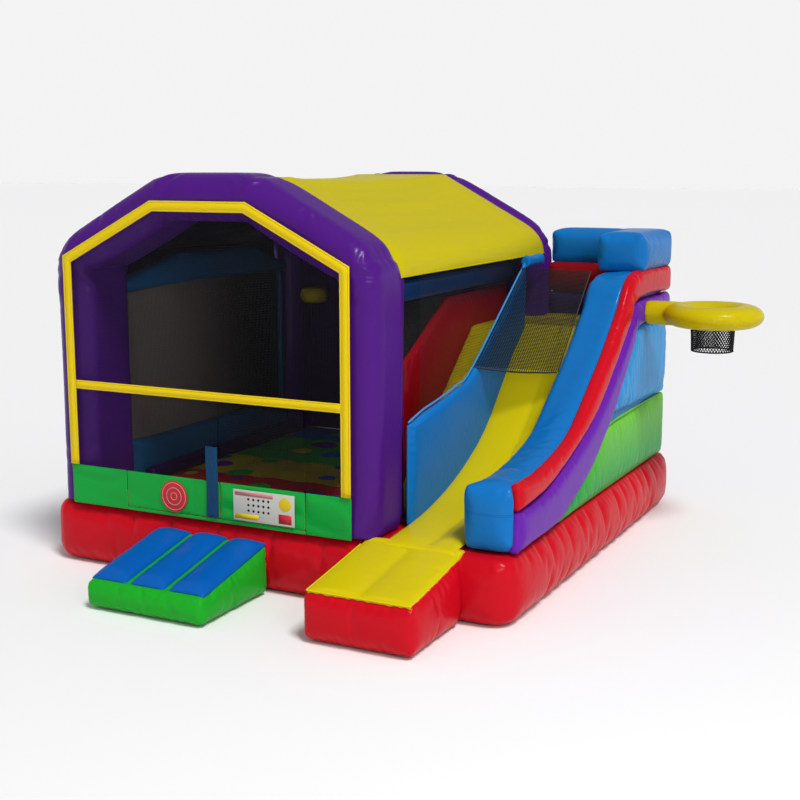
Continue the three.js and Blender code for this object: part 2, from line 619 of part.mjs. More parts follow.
// D-shaped ring hanging from its bar, in the local YZ plane.
function anchorRing() {
  const { ringHalf, wire, bar, drop } = ANCHOR;
  const outer = new THREE.Shape();
  outer.moveTo(ringHalf, bar);
  outer.lineTo(-ringHalf, bar);
  outer.lineTo(-ringHalf, -drop);
  outer.absarc(0, -drop, ringHalf, Math.PI, Math.PI * 2, false);
  const inner = new THREE.Path();
  inner.moveTo(ringHalf - wire, -bar);
  inner.lineTo(ringHalf - wire, -drop);
  inner.absarc(0, -drop, ringHalf - wire, Math.PI * 2, Math.PI, true);
  inner.lineTo(wire - ringHalf, -bar);
  outer.holes.push(inner);
  return slab(outer, -wire / 2, wire / 2, 2, COARSE).applyMatrix4(SIDE_AXES);
}

function addAnchors() {
  const left = BASE.x0 - TOUCH;
  const rear = BASE.y1 + TOUCH;
  const places = [[left, 1000, Math.PI], [left, 4300, Math.PI], [700, rear, Math.PI / 2],
    [4000, rear, Math.PI / 2]];
  places.forEach(([x, y, turn], i) => {
    const anchor = new THREE.Group();
    anchor.position.set(x, y, ANCHOR.z);
    anchor.rotation.z = turn;
    house.add(anchor);
    add(`anchor_tab_${i + 1}`, anchorTab(), vinyl(WEBBING), anchor);
    const ring = add(`anchor_ring_${i + 1}`, anchorRing(), steel(), anchor);
    ring.position.x = ANCHOR.loop + ANCHOR.skin;
  });
}

// ---- assembly -----------------------------------------------------------------------------------
addBase();
addExitPad();
addRamp();
addArch('front', FRONT_ARCH);
addArch('rear', REAR_ARCH);
addRoof();
addWindowFrame();
addFrontScreen();
addDoor();
addLeftWall();
addRearWall();
addMidWall();
addClimbLane();
addSlide();
addOuterWall();
addSidePanels();
addTowerTop();
addLaneNets();
addHoops();
addSleeve();
addAnchors();

house.updateMatrixWorld(true);
const box = new THREE.Box3().setFromObject(house, true);
house.position.set(-(box.min.x + box.max.x) / 2, -(box.min.y + box.max.y) / 2, -box.min.z);
house.updateMatrixWorld(true);

export default house;
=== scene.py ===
"""Looks of the inflatable bounce house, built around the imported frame.

Places are in the house frame, in metres: x right along the front from the window frame's left edge,
y towards the back from the front arch's face, and z up from the ground. SHIFT is that frame's zero
in the part's own frame, and every finished mesh is moved by it. Chambers start as closed shapes a
little under their CAD size, then Cloth inflates them between the seams that hold them.
"""

import math

import bmesh
import bpy
import numpy as np
from mathutils import Matrix, Vector, noise


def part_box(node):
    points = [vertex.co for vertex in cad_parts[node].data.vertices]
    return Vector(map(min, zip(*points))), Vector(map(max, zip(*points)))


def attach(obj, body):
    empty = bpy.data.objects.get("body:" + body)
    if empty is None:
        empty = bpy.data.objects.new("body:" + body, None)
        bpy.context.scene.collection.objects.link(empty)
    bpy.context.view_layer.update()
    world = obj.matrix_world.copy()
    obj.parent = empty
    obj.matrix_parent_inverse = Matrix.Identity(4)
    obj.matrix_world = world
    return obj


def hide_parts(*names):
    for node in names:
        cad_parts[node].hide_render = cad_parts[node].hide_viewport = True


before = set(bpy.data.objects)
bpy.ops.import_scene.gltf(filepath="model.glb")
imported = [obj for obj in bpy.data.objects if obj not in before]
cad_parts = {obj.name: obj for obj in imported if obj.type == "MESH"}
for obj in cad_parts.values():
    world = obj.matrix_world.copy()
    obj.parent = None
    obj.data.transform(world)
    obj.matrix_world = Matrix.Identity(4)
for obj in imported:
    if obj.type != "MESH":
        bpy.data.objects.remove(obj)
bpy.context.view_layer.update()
SHIFT = Vector((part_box("window_frame")[0].x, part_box("front_column_left")[0].y, 0))
SCENE = bpy.context.scene


def box(node):
    """Lowest and highest corner of a CAD node, in the house frame."""
    low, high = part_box(node)
    return low - SHIFT, high - SHIFT


def linked(name, data):
    """A new object of the data, put into the scene."""
    made = bpy.data.objects.new(name, data)
    SCENE.collection.objects.link(made)
    return made


# ---- camera and light ---------------------------------------------------------------------------
CAMERA_PLACE = Vector((8.747, -10.149, 4.006))
CAMERA_TURN = math.radians(26.51)
CAMERA_DIP = math.radians(10.17)
CAMERA_LENS = 59.35
CLIP_END = 300
STUDIO_WIDTH = 400
STUDIO_FLOOR = -0.004
SKY_LOW, SKY_HIGH = 0.13, 0.30
SUN_DIRECTION = (-0.52, 0.34, -1.0)
SUN_STRENGTH = 2.25
SUN_SPREAD = math.radians(16)
GLOSS_PLACE = Vector((8, -9, 6))
GLOSS_TARGET = Vector((2, 0, 1.2))
GLOSS_POWER = 190
GLOSS_SIZE = 3


def add_camera():
    data = bpy.data.cameras.new("camera")
    data.lens = CAMERA_LENS
    data.clip_end = CLIP_END
    camera = linked("camera", data)
    camera.location = CAMERA_PLACE + SHIFT
    camera.rotation_euler = (math.pi / 2 - CAMERA_DIP, 0, CAMERA_TURN)
    SCENE.camera = camera


def add_light(name, kind, power, direction, place=(0, 0, 0), **settings):
    data = bpy.data.lights.new(name, kind)
    data.energy = power
    for key, value in settings.items():
        setattr(data, key, value)
    light = linked(name, data)
    light.location = Vector(place)
    light.rotation_mode = "QUATERNION"
    light.rotation_quaternion = Vector(direction).to_track_quat("-Z", "Y")


def add_studio():
    floor = make_object("studio_floor", *grid_patch(lambda u, v: (
        (u - 0.5) * STUDIO_WIDTH, (v - 0.5) * STUDIO_WIDTH, STUDIO_FLOOR), 2, 2))
    floor.data.materials.append(plain_material("studio_white", (0.92, 0.92, 0.92), 0.9))
    world = bpy.data.worlds.new("studio")
    world.use_nodes = True
    tree = world.node_tree
    place = tree.nodes.new("ShaderNodeTexCoord")
    split = tree.nodes.new("ShaderNodeSeparateXYZ")
    tree.links.new(place.outputs["Generated"], split.inputs["Vector"])
    ramp = tree.nodes.new("ShaderNodeValToRGB")
    low, high = ramp.color_ramp.elements
    low.position, low.color = SKY_LOW, (0.90, 0.90, 0.90, 1)
    high.position, high.color = SKY_HIGH, (0.34, 0.34, 0.35, 1)
    tree.links.new(split.outputs["Z"], ramp.inputs["Fac"])
    tree.links.new(ramp.outputs["Color"], tree.nodes["Background"].inputs["Color"])
    SCENE.world = world
    SCENE.view_settings.view_transform = "Standard"
    add_light("key", "SUN", SUN_STRENGTH, SUN_DIRECTION, angle=SUN_SPREAD)
    add_light("gloss", "AREA", GLOSS_POWER, GLOSS_TARGET - GLOSS_PLACE, GLOSS_PLACE, shape="DISK",
              size=GLOSS_SIZE)


# ---- mesh helpers -------------------------------------------------------------------------------
def make_object(name, vertices, faces):
    mesh = bpy.data.meshes.new(name)
    mesh.from_pydata([tuple(v) for v in vertices], [], faces)
    mesh.validate()
    return linked(name, mesh)


def grid_faces(columns, rows):
    return [(j * columns + i, j * columns + i + 1, (j + 1) * columns + i + 1, (j + 1) * columns + i)
            for j in range(rows - 1) for i in range(columns - 1)]


def grid_patch(place, columns, rows):
    """Vertices and faces of the patch place(u, v), with u and v from 0 to 1."""
    vertices = [place(i / (columns - 1), j / (rows - 1)) for j in range(rows)
                for i in range(columns)]
    return vertices, grid_faces(columns, rows)


def thick_sheet(name, top, under, columns, rows):
    """A closed sheet between two grids of points."""
    count = columns * rows
    faces = grid_faces(columns, rows)
    faces += [tuple(i + count for i in face[::-1]) for face in faces]
    rim = (list(range(columns)) + [j * columns + columns - 1 for j in range(1, rows)]
           + [(rows - 1) * columns + i for i in range(columns - 2, -1, -1)]
           + [j * columns for j in range(rows - 2, 0, -1)])
    faces += [(b, a, a + count, b + count) for a, b in zip(rim, rim[1:] + rim[:1])]
    return make_object(name, list(top) + list(under), faces)


def layered_sheet(name, place, columns, rows, upper, lower):
    """A closed sheet between the layers place(u, v, upper) and place(u, v, lower)."""
    top, under = [grid_patch(lambda u, v: place(u, v, lift), columns, rows)[0]
                  for lift in (upper, lower)]
    return thick_sheet(name, top, under, columns, rows)


def read_vectors(items, attribute):
    flat = np.empty(len(items) * 3, np.float32)
    items.foreach_get(attribute, flat)
    return flat.reshape(-1, 3).astype(float)


def coordinates(mesh):
    return read_vectors(mesh.vertices, "co")


def normals(mesh):
    return read_vectors(mesh.vertex_normals, "vector")


def set_coordinates(mesh, points):
    mesh.vertices.foreach_set("co", np.asarray(points, np.float32).ravel())
    mesh.update()


def evaluated_mesh(obj):
    depsgraph = bpy.context.evaluated_depsgraph_get()
    return bpy.data.meshes.new_from_object(obj.evaluated_get(depsgraph))


def apply_modifiers(obj):
    mesh = evaluated_mesh(obj)
    obj.modifiers.clear()
    obj.data = mesh
    return obj


def ring_faces(rings, sides, closed=False):
    """Quads between neighbouring rings of points, with end caps unless the rings close up."""
    faces = [(i * sides + k, i * sides + (k + 1) % sides, (i + 1) % rings * sides + (k + 1) % sides,
              (i + 1) % rings * sides + k)
             for i in range(rings if closed else rings - 1) for k in range(sides)]
    if not closed:
        faces += [tuple(range(sides))[::-1], tuple(range((rings - 1) * sides, rings * sides))]
    return faces


def with_outward_faces(obj):
    edit = bmesh.new()
    edit.from_mesh(obj.data)
    bmesh.ops.recalc_face_normals(edit, faces=edit.faces)
    edit.to_mesh(obj.data)
    edit.free()
    return obj


def prism(name, outline, axis, low, high):
    """Closed prism of an outline: (y, z) points for axis x, (x, z) for y and (x, y) for z."""
    order = {"x": lambda w, u, v: (w, u, v), "y": lambda w, u, v: (u, w, v),
             "z": lambda w, u, v: (u, v, w)}[axis]
    count = len(outline)
    vertices = [order(w, u, v) for w in (low, high) for u, v in outline]
    faces = [tuple(range(count)), tuple(range(2 * count - 1, count - 1, -1))]
    faces += [(i, (i + 1) % count, count + (i + 1) % count, count + i) for i in range(count)]
    return with_outward_faces(make_object(name, vertices, faces))


def arc(cx, cy, radius, start, end, steps=6):
    return [(cx + radius * math.cos(math.radians(start + (end - start) * i / steps)),
             cy + radius * math.sin(math.radians(start + (end - start) * i / steps)))
            for i in range(steps + 1)]


def rounded(u0, v0, u1, v1, radius):
    return (arc(u1 - radius, v0 + radius, radius, -90, 0)
            + arc(u1 - radius, v1 - radius, radius, 0, 90)
            + arc(u0 + radius, v1 - radius, radius, 90, 180)
            + arc(u0 + radius, v0 + radius, radius, 180, 270))


def rectangle(u0, v0, u1, v1):
    return [(u0, v0), (u1, v0), (u1, v1), (u0, v1)]


def bevelled(obj, width, segments=3):
    bevel = obj.modifiers.new("bevel", "BEVEL")
    bevel.width = width
    bevel.segments = segments
    bevel.limit_method = "ANGLE"
    bevel.angle_limit = math.radians(35)
    return apply_modifiers(obj)


def remeshed(obj, voxel, inset=0.0, smooth=2, flush=()):
    """An even quad mesh of the same solid, drawn in by inset along its normals, except on the
    faces that point along one of the flush directions."""
    remesh = obj.modifiers.new("remesh", "REMESH")
    remesh.mode = "VOXEL"
    remesh.voxel_size = voxel
    if smooth:
        relax = obj.modifiers.new("relax", "SMOOTH")
        relax.factor = 0.5
        relax.iterations = smooth
    apply_modifiers(obj)
    if inset:
        points, facings = coordinates(obj.data), normals(obj.data)
        shift = np.full(len(points), inset)
        if flush:
            shift[facing(*flush, limit=0.7)(points, facings)] = 0.0
        set_coordinates(obj.data, points - shift[:, None] * facings)
    return obj


def joined(name, parts):
    """One object of several, whose meshes keep their places."""
    edit = bmesh.new()
    for part in parts:
        edit.from_mesh(part.data)
        bpy.data.objects.remove(part)
    mesh = bpy.data.meshes.new(name)
    edit.to_mesh(mesh)
    edit.free()
    return linked(name, mesh)


def copy_of(name, node):
    """A new object with a CAD node's shape, in the house frame."""
    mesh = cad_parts[node].data.copy()
    mesh.materials.clear()
    mesh.transform(Matrix.Translation(-SHIFT))
    return linked(name, mesh)


def smooth_path(points, spacing):
    """Points about "spacing" apart along a Catmull-Rom curve through the given ones."""
    line = [Vector(p) for p in points]
    line = [2 * line[0] - line[1]] + line + [2 * line[-1] - line[-2]]
    fine = []
    for a, b, c, d in zip(line, line[1:], line[2:], line[3:]):
        for i in range(16):
            t = i / 16
            fine.append(0.5 * (2 * b + (c - a) * t + (2 * a - 5 * b + 4 * c - d) * t * t
                               + (3 * b - a - 3 * c + d) * t ** 3))
    fine.append(line[-2])
    lengths = np.concatenate([[0], np.cumsum([(q - p).length for p, q in zip(fine, fine[1:])])])
    count = max(2, round(lengths[-1] / spacing) + 1)
    places = np.linspace(0, lengths[-1], count)
    table = np.array([tuple(p) for p in fine])
    return np.stack([np.interp(places, lengths, table[:, k]) for k in range(table.shape[1])], 1)


def distances_along(line):
    """How far each point of an array lies along the line through all of them."""
    return np.concatenate([[0], np.cumsum(np.linalg.norm(np.diff(line, axis=0), axis=1))])


def circle(place, count):
    """Points place(cosine, sine) round a full turn."""
    return [place(math.cos(t), math.sin(t)) for t in np.linspace(0, 2 * math.pi, count, endpoint=False)]


def tube(name, path, radius, sides=6, closed=False, flatten=1.0):
    """A round tube along a 3-D path."""
    points = [Vector(p) for p in path]
    count = len(points)
    vertices = []
    for i, point in enumerate(points):
        before = points[(i - 1) % count] if closed or i else point
        after = points[(i + 1) % count] if closed or i < count - 1 else point
        along = (after - before).normalized()
        side = along.cross(Vector((0, 0, 1)))
        if side.length < 0.1:
            side = along.cross(Vector((0, 1, 0)))
        side.normalize()
        up = side.cross(along).normalized()
        for k in range(sides):
            turn = 2 * math.pi * k / sides
            vertices.append(point + radius * (math.cos(turn) * side
                                              + flatten * math.sin(turn) * up))
    return make_object(name, vertices, ring_faces(count, sides, closed))


# ---- inflation ----------------------------------------------------------------------------------
INFLATIONS = []
FRAMES = 22


def inflate(obj, held, pressure=4.0, slack=0.02, cap=0.05):
    """Marks a chamber for the simulation. held(points, normals) says which points seams hold; no
    other point may move further than cap."""
    points, directions = coordinates(obj.data), normals(obj.data)
    mask = held(points, directions)
    INFLATIONS.append((obj, points, cap))
    group = obj.vertex_groups.new(name="held")
    group.add(np.nonzero(mask)[0].tolist(), 1.0, "REPLACE")
    cloth = obj.modifiers.new("cloth", "CLOTH")
    settings = cloth.settings
    settings.quality = 4
    settings.mass = 0.3
    settings.tension_stiffness = 15
    settings.compression_stiffness = 15
    settings.shear_stiffness = 5
    settings.bending_stiffness = 0.5
    settings.use_pressure = True
    settings.uniform_pressure_force = pressure
    settings.effector_weights.gravity = 0
    settings.vertex_group_mass = "held"
    settings.shrink_min = -slack
    cloth.point_cache.frame_start = 1
    cloth.point_cache.frame_end = FRAMES
    return obj


def run_inflation():
    """Simulates every marked chamber at once and keeps the result as its mesh."""
    for step in range(1, FRAMES + 1):
        SCENE.frame_set(step)
    shapes = [coordinates(evaluated_mesh(obj)) for obj, _, _ in INFLATIONS]
    for (obj, points, cap), shape in zip(INFLATIONS, shapes):
        obj.modifiers.clear()
        obj.vertex_groups.clear()
        move = shape - points
        length = np.linalg.norm(move, axis=1, keepdims=True)
        soft = cap * np.tanh(length / cap)
        set_coordinates(obj.data, points + move * soft / np.maximum(length, 1e-9))
    SCENE.frame_set(1)


def chamber(obj, voxel, material, slot, nodes, held, remesh=None, **air):
    """Remeshes a closed shape, marks it for inflation and finishes it."""
    remeshed(obj, voxel, **(remesh or {}))
    inflate(obj, held, **air)
    return finish_piece(obj, material, nodes=nodes, slot=slot)


def facing(*directions, limit=0.6):
    """Holds the points whose surface faces one of the directions."""
    units = [np.array(Vector(d).normalized()) for d in directions]
    return lambda points, facings: np.max([facings @ unit for unit in units], axis=0) > limit


def near_planes(planes, reach):
    """Holds the points within reach of one of the planes, each (axis number, value)."""
    return lambda points, facings: np.min(
        [np.abs(points[:, axis] - value) for axis, value in planes], axis=0) < reach


def any_of(*rules):
    return lambda points, facings: np.any([rule(points, facings) for rule in rules], axis=0)


# ---- pieces -------------------------------------------------------------------------------------
FINISHED = []


def finish_piece(obj, material, body="house", nodes=(), slot=None, levels=1):
    """Gives a piece its material, body and smoothing; its mesh is moved into the part's own frame once
    the chambers are inflated."""
    obj.data.materials.clear()
    obj.data.materials.append(material)
    FINISHED.append((obj, body, levels))
    if nodes:
        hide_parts(*nodes)
    return obj


def settle_pieces():
    for obj, body, levels in FINISHED:
        obj.data.transform(Matrix.Translation(SHIFT))
        obj.data.shade_smooth()
        if levels:
            subdivision = obj.modifiers.new("subdivision", "SUBSURF")
            subdivision.levels = levels
            subdivision.render_levels = levels
        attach(obj, body)


# ---- materials ----------------------------------------------------------------------------------
PURPLE = (0.072, 0.009, 0.20)
YELLOW = (0.66, 0.54, 0.004)
BLUE = (0.006, 0.165, 0.50)
RED = (0.56, 0.003, 0.012)
GREEN = (0.006, 0.36, 0.045)
LIME = (0.14, 0.52, 0.02)


def plain_material(name, color, roughness):
    material = bpy.data.materials.new(name)
    material.use_nodes = True
    shader = material.node_tree.nodes["Principled BSDF"]
    shader.inputs["Base Color"].default_value = (*color, 1)
    shader.inputs["Roughness"].default_value = roughness
    return material


class Nodes:
    """Short names for building a node tree."""

    def __init__(self, material):
        self.tree = material.node_tree
        self.shader = self.tree.nodes["Principled BSDF"]

    def feed(self, node, **inputs):
        for key, value in inputs.items():
            target = node.inputs[key.replace("_", " ")]
            if isinstance(value, bpy.types.NodeSocket):
                self.link(value, target)
            else:
                target.default_value = value
        return node

    def add(self, kind, **inputs):
        return self.feed(self.tree.nodes.new(kind), **inputs)

    def surface(self, **inputs):
        self.feed(self.shader, **inputs)

    def bump(self, height, strength, distance, **below):
        node = self.add("ShaderNodeBump", Height=height, Strength=strength, Distance=distance, **below)
        return node.outputs["Normal"]

    def steps(self, factor, stops):
        """Colours that change in steps along factor, each stop a position and a colour."""
        node = self.add("ShaderNodeValToRGB", Fac=factor)
        ramp = node.color_ramp
        ramp.interpolation = "CONSTANT"
        while len(ramp.elements) < len(stops):
            ramp.elements.new(0.5)
        for element, (position, color) in zip(ramp.elements, stops):
            element.position = position
            element.color = (*color, 1)
        return node.outputs["Color"]

    def link(self, source, target):
        self.tree.links.new(source, target)

    def fill(self, sockets, values):
        for socket, value in zip(sockets, values):
            if isinstance(value, bpy.types.NodeSocket):
                self.link(value, socket)
            else:
                socket.default_value = value

    def math(self, operation, first, second=0.0):
        node = self.tree.nodes.new("ShaderNodeMath")
        node.operation = operation
        self.fill(node.inputs, (first, second))
        return node.outputs[0]

    def mix(self, share, first, second, mode="MIX"):
        node = self.tree.nodes.new("ShaderNodeMix")
        node.data_type = "RGBA"
        node.blend_type = mode
        self.fill((node.inputs[0], node.inputs[6], node.inputs[7]), (share, first, second))
        return node.outputs[2]

    def noise(self, scale, detail, place):
        node = self.add("ShaderNodeTexNoise", Scale=scale, Detail=detail, Vector=place)
        return node.outputs["Fac"]


def node_material(name):
    """A new material, its nodes, and the socket of the piece's own coordinates."""
    material = bpy.data.materials.new(name)
    material.use_nodes = True
    nodes = Nodes(material)
    return material, nodes, nodes.add("ShaderNodeTexCoord").outputs["Object"]


def shade(color, factor):
    return tuple(min(1.0, c * factor) for c in color) + (1,)


def vinyl(name, color, wrinkle=0.15, roughness=0.33, stretch=(1, 1, 1), pattern=None):
    """PVC-coated fabric: slight colour drift, soft creases, a fine scrim under the coating."""
    material, nodes, place = node_material(name)
    stretched = nodes.add("ShaderNodeMapping", Vector=place, Scale=stretch).outputs["Vector"]
    base = shade(color, 1.0) if pattern is None else pattern(nodes, place)
    drift = nodes.noise(1.3, 4.0, stretched)
    deep = nodes.mix(0.22, base, (0, 0, 0, 1)) if pattern else shade(color, 0.80)
    tinted = nodes.mix(nodes.math("MULTIPLY", drift, 0.55), base, deep)
    grain = nodes.math("MULTIPLY", nodes.noise(14.0, 5.0, place), 0.12)
    folds = nodes.noise(3.2, 5.0, stretched)
    ridges = nodes.math("ABSOLUTE", nodes.math("SUBTRACT", nodes.noise(6.5, 3.0, stretched), 0.5))
    creases = nodes.math("SUBTRACT", folds, nodes.math("MULTIPLY", ridges, 0.9))
    scrim = nodes.add("ShaderNodeTexVoronoi", Vector=place, Scale=260).outputs["Distance"]
    weave = nodes.bump(scrim, 0.04, 0.002)
    nodes.surface(Base_Color=tinted, Roughness=nodes.math("ADD", grain, roughness - 0.06),
                  Specular_IOR_Level=0.04, Coat_Weight=0.14, Coat_Roughness=0.16,
                  Normal=nodes.bump(creases, wrinkle, 0.05, Normal=weave))
    return material


def netting(name, color):
    """Braided cord: matt, with a fine twist."""
    material, nodes, place = node_material(name)
    fleck = nodes.noise(220.0, 2.0, place)
    nodes.surface(Base_Color=nodes.mix(fleck, shade(color, 0.6), shade(color, 1.8)), Roughness=0.85,
                  Normal=nodes.bump(fleck, 0.3, 0.001))
    return material


def metal(name, color, roughness):
    """Zinc-plated or nickel metal with fine scratches."""
    material, nodes, place = node_material(name)
    cloud = nodes.noise(60.0, 4.0, place)
    dull = nodes.math("ADD", nodes.math("MULTIPLY", cloud, 0.2), roughness)
    nodes.surface(Base_Color=nodes.mix(cloud, shade(color, 0.75), shade(color, 1.15)), Roughness=dull,
                  Metallic=1.0, Normal=nodes.bump(nodes.noise(400.0, 2.0, place), 0.1, 0.0005))
    return material


# ---- shapes of the house ------------------------------------------------------------------------
TOWER_REAR = 4.95
RAIL_LINE = [(0.15, 1.262), (0.70, 1.262), (1.23, 1.33), (1.65, 1.44), (1.94, 1.59), (2.31, 1.84),
             (2.71, 2.12), (3.19, 2.52), (3.62, 2.857), (TOWER_REAR, 2.857)]
BORDER_LINE = [(0.15, 1.00), (0.90, 1.06), (1.52, 1.22), (1.96, 1.37), (2.34, 1.54), (2.73, 1.80),
               (3.06, 2.05), (3.48, 2.38), (3.74, 2.55), (TOWER_REAR, 2.55)]
SKIRT_LINE = [(0.95, 0.634), (1.27, 0.656), (1.70, 0.78), (2.22, 1.00), (2.69, 1.30), (3.02, 1.54),
              (3.27, 1.78), (3.60, 2.09), (3.80, 2.25), (TOWER_REAR, 2.25)]
CHUTE_LINE = [(0.01, 0.618), (0.09, 0.652), (0.76, 0.71), (1.34, 0.83), (1.80, 0.99), (2.19, 1.18),
              (2.49, 1.40), (2.90, 1.79), (3.20, 2.06), (3.497, 2.262)]
DIVIDER_LINE = [(0.60, 1.635), (0.70, 1.66), (0.953, 1.715), (1.20, 1.745), (1.70, 1.83), (2.08, 1.95),
                (3.42, 2.85)]
ARCH_WIDTH = 3.2
ARCH_DEPTH = 0.40
BASE_TOP = 0.632
SEAM_REACH = 0.022
EAVE = (-0.20, 3.21)
EAVE_ROUND = 0.26
RIDGE = (1.08, 3.90)
EAVE_INNER = (0.20, 2.97)
RIDGE_INNER = (1.15, 3.46)


def swept(name, path, x0, x1, seams=(0, 1), crown=0.03, thick=0.02, pucker=0.006, spacing=0.035,
          ends=0.10):
    """A quilted sheet along a (y, z) path: crowned between lengthwise seams, puckered beside them."""
    line = smooth_path(path, spacing)
    tangent = np.gradient(line, axis=0)
    tangent /= np.linalg.norm(tangent, axis=1, keepdims=True)
    lift = np.stack([-tangent[:, 1], tangent[:, 0]], 1)
    run = distances_along(line)
    columns = max(12, round((x1 - x0) / spacing))
    width = x1 - x0
    top, under = [], []
    for j, (place, up) in enumerate(zip(line, lift)):
        taper = min(1.0, run[j] / ends, (run[-1] - run[j]) / ends) ** 0.5
        for i in range(columns + 1):
            share = i / columns
            low = max(s for s in seams if s <= share + 1e-9 and s < 1)
            high = min(s for s in seams if s > low)
            inside = (share - low) / (high - low)
            dome = max(0.0, 1 - abs(2 * inside - 1) ** 2.4) ** 0.75
            near = min(share - low, high - share) * width
            ripple = noise.noise(Vector((share * width * 3, run[j] * 11, len(name))))
            rise = crown * dome * taper + pucker * ripple * math.exp(-near / 0.09) * dome
            x = x0 + share * width
            top.append((x, place[0] + up[0] * rise, place[1] + up[1] * rise))
            under.append((x, place[0] - up[0] * thick, place[1] - up[1] * thick))
    return thick_sheet(name, top, under, columns + 1, len(line))


def ribbon(name, points, width, thick, facing_axis, closed=False, wave=0.0015):
    """A flat strap along a polyline, with a stitched groove near each edge. facing_axis is the axis
    that it faces: "-y" lies in XZ, "x" in YZ."""
    profile = [(-0.5, 0.0), (-0.5, 0.55), (-0.44, 1.0), (-0.36, 1.0), (-0.335, 0.62), (-0.31, 1.0),
               (0.31, 1.0), (0.335, 0.62), (0.36, 1.0), (0.44, 1.0), (0.5, 0.55), (0.5, 0.0)]
    line = [Vector(p) for p in points]
    fine = []
    pairs = list(zip(line, line[1:] + line[:1])) if closed else list(zip(line, line[1:]))
    for a, b in pairs:
        steps = max(1, round((b - a).length / 0.06))
        fine += [(a.lerp(b, i / steps), i == 0) for i in range(steps)]
    if not closed:
        fine.append((line[-1], True))
    count = len(fine)
    out = {"-y": Vector((0, -1, 0)), "x": Vector((1, 0, 0)), "z": Vector((0, 0, 1))}[facing_axis]
    vertices = []
    for k, (point, _) in enumerate(fine):
        before = fine[(k - 1) % count][0] if closed or k else point
        after = fine[(k + 1) % count][0] if closed or k < count - 1 else point
        arrive = (point - before).normalized() if point != before else (after - point).normalized()
        leave = (after - point).normalized() if after != point else arrive
        side = out.cross((arrive + leave).normalized())
        stretch = 1 / max(0.3, side.dot(out.cross(arrive)))
        sway = wave * noise.noise(point * 5)
        for u, v in profile:
            vertices.append(point + side * (u * width * stretch) + out * (v * thick + sway))
    return with_outward_faces(make_object(name, vertices, ring_faces(count, len(profile), closed)))


def inside_spans(outline, value, axis):
    """The stretches of the line "coordinate axis = value" that lie inside a polygon."""
    other = 1 - axis
    hits = []
    for a, b in zip(outline, outline[1:] + outline[:1]):
        if (a[axis] > value) != (b[axis] > value):
            share = (value - a[axis]) / (b[axis] - a[axis])
            hits.append(a[other] + share * (b[other] - a[other]))
    hits.sort()
    return list(zip(hits[::2], hits[1::2]))


def net(name, outline, lift, pitch, cord, sag=0.0):
    """A knotted net: crossing cords inside a flat outline. lift(u, v, w) places a point of it, with w
    the height above the net's own plane."""
    vertices, faces = [], []
    for axis in (0, 1):
        other = 1 - axis
        low = min(p[axis] for p in outline)
        high = max(p[axis] for p in outline)
        lines = max(1, round((high - low) / pitch))
        for i in range(1, lines):
            value = low + (high - low) * i / lines
            for start, end in inside_spans(outline, value, axis):
                pieces = max(1, round((end - start) / 0.8)) if sag else 1
                rings = []
                for k in range(pieces + 1):
                    along = start + (end - start) * k / pieces
                    w = (axis - 0.5) * cord * 0.9
                    ring = []
                    for du, dw in ((-0.5, -0.5), (0.5, -0.5), (0.5, 0.5), (-0.5, 0.5)):
                        spot = [0, 0]
                        spot[axis] = value + du * cord
                        spot[other] = along
                        ring.append(len(vertices))
                        vertices.append(lift(spot[0], spot[1], w + dw * cord))
                    rings.append(ring)
                for a, b in zip(rings, rings[1:]):
                    faces += [(a[j], a[(j + 1) % 4], b[(j + 1) % 4], b[j]) for j in range(4)]
                faces += [tuple(rings[0][::-1]), tuple(rings[-1])]
    return make_object(name, vertices, faces)


SIDES = ((1, 0, 0), (-1, 0, 0))
ENDS = ((0, 1, 0), (0, -1, 0))
TOP_AND_FOOT = ((0, 0, 1), (0, 0, -1))


# ---- base, floor, pads --------------------------------------------------------------------------
def add_base():
    low, high = box("house_base")
    inset = 0.005
    plan = rounded(low.x + inset, low.y + inset, high.x - inset, high.y - inset, 0.22)
    base = prism("base_chamber", plan, "z", 0.003, high.z - 0.002)
    chamber(bevelled(base, 0.07), 0.05, RED_VINYL, "red_vinyl", ["house_base"],
            facing(*TOP_AND_FOOT, limit=0.8), pressure=12, slack=0.07, cap=0.10)


def floor_colours(nodes, place):
    """Cross bands of the printed floor, with spots."""
    split = nodes.add("ShaderNodeSeparateXYZ", Vector=place)
    y = nodes.math("SUBTRACT", split.outputs["Y"], SHIFT.y)
    bands = nodes.steps(nodes.math("DIVIDE", y, 4.4), [
        (0.0, (0.80, 0.02, 0.03)), (0.375, (0.78, 0.66, 0.02)), (0.56, (0.06, 0.66, 0.05)),
        (0.82, (0.02, 0.25, 0.75))])
    spots = nodes.add("ShaderNodeTexVoronoi", Vector=place, Scale=1.9, Randomness=0.55)
    inside = nodes.math("LESS_THAN", spots.outputs["Distance"], 0.30)
    pick = nodes.add("ShaderNodeSeparateColor", Color=spots.outputs["Color"])
    dots = nodes.steps(pick.outputs[0], [
        (0.0, (0.02, 0.22, 0.85)), (0.3, (0.04, 0.62, 0.07)), (0.55, (0.90, 0.74, 0.02)),
        (0.78, (0.24, 0.03, 0.55))])
    return nodes.mix(inside, bands, dots)


def add_floor():
    low, high = box("bounce_floor")
    surface = low.z + 0.012
    path = [(0.12, surface), (2.2, surface), (high.y, surface)]
    seams = [i / 6 for i in range(7)]
    floor = swept("bounce_floor_print", path, low.x, high.x, seams=seams, crown=0.022, thick=0.008,
                  spacing=0.06)
    material = vinyl("printed_vinyl", GREEN, pattern=floor_colours)
    finish_piece(floor, material, nodes=["bounce_floor"], slot="printed_floor")


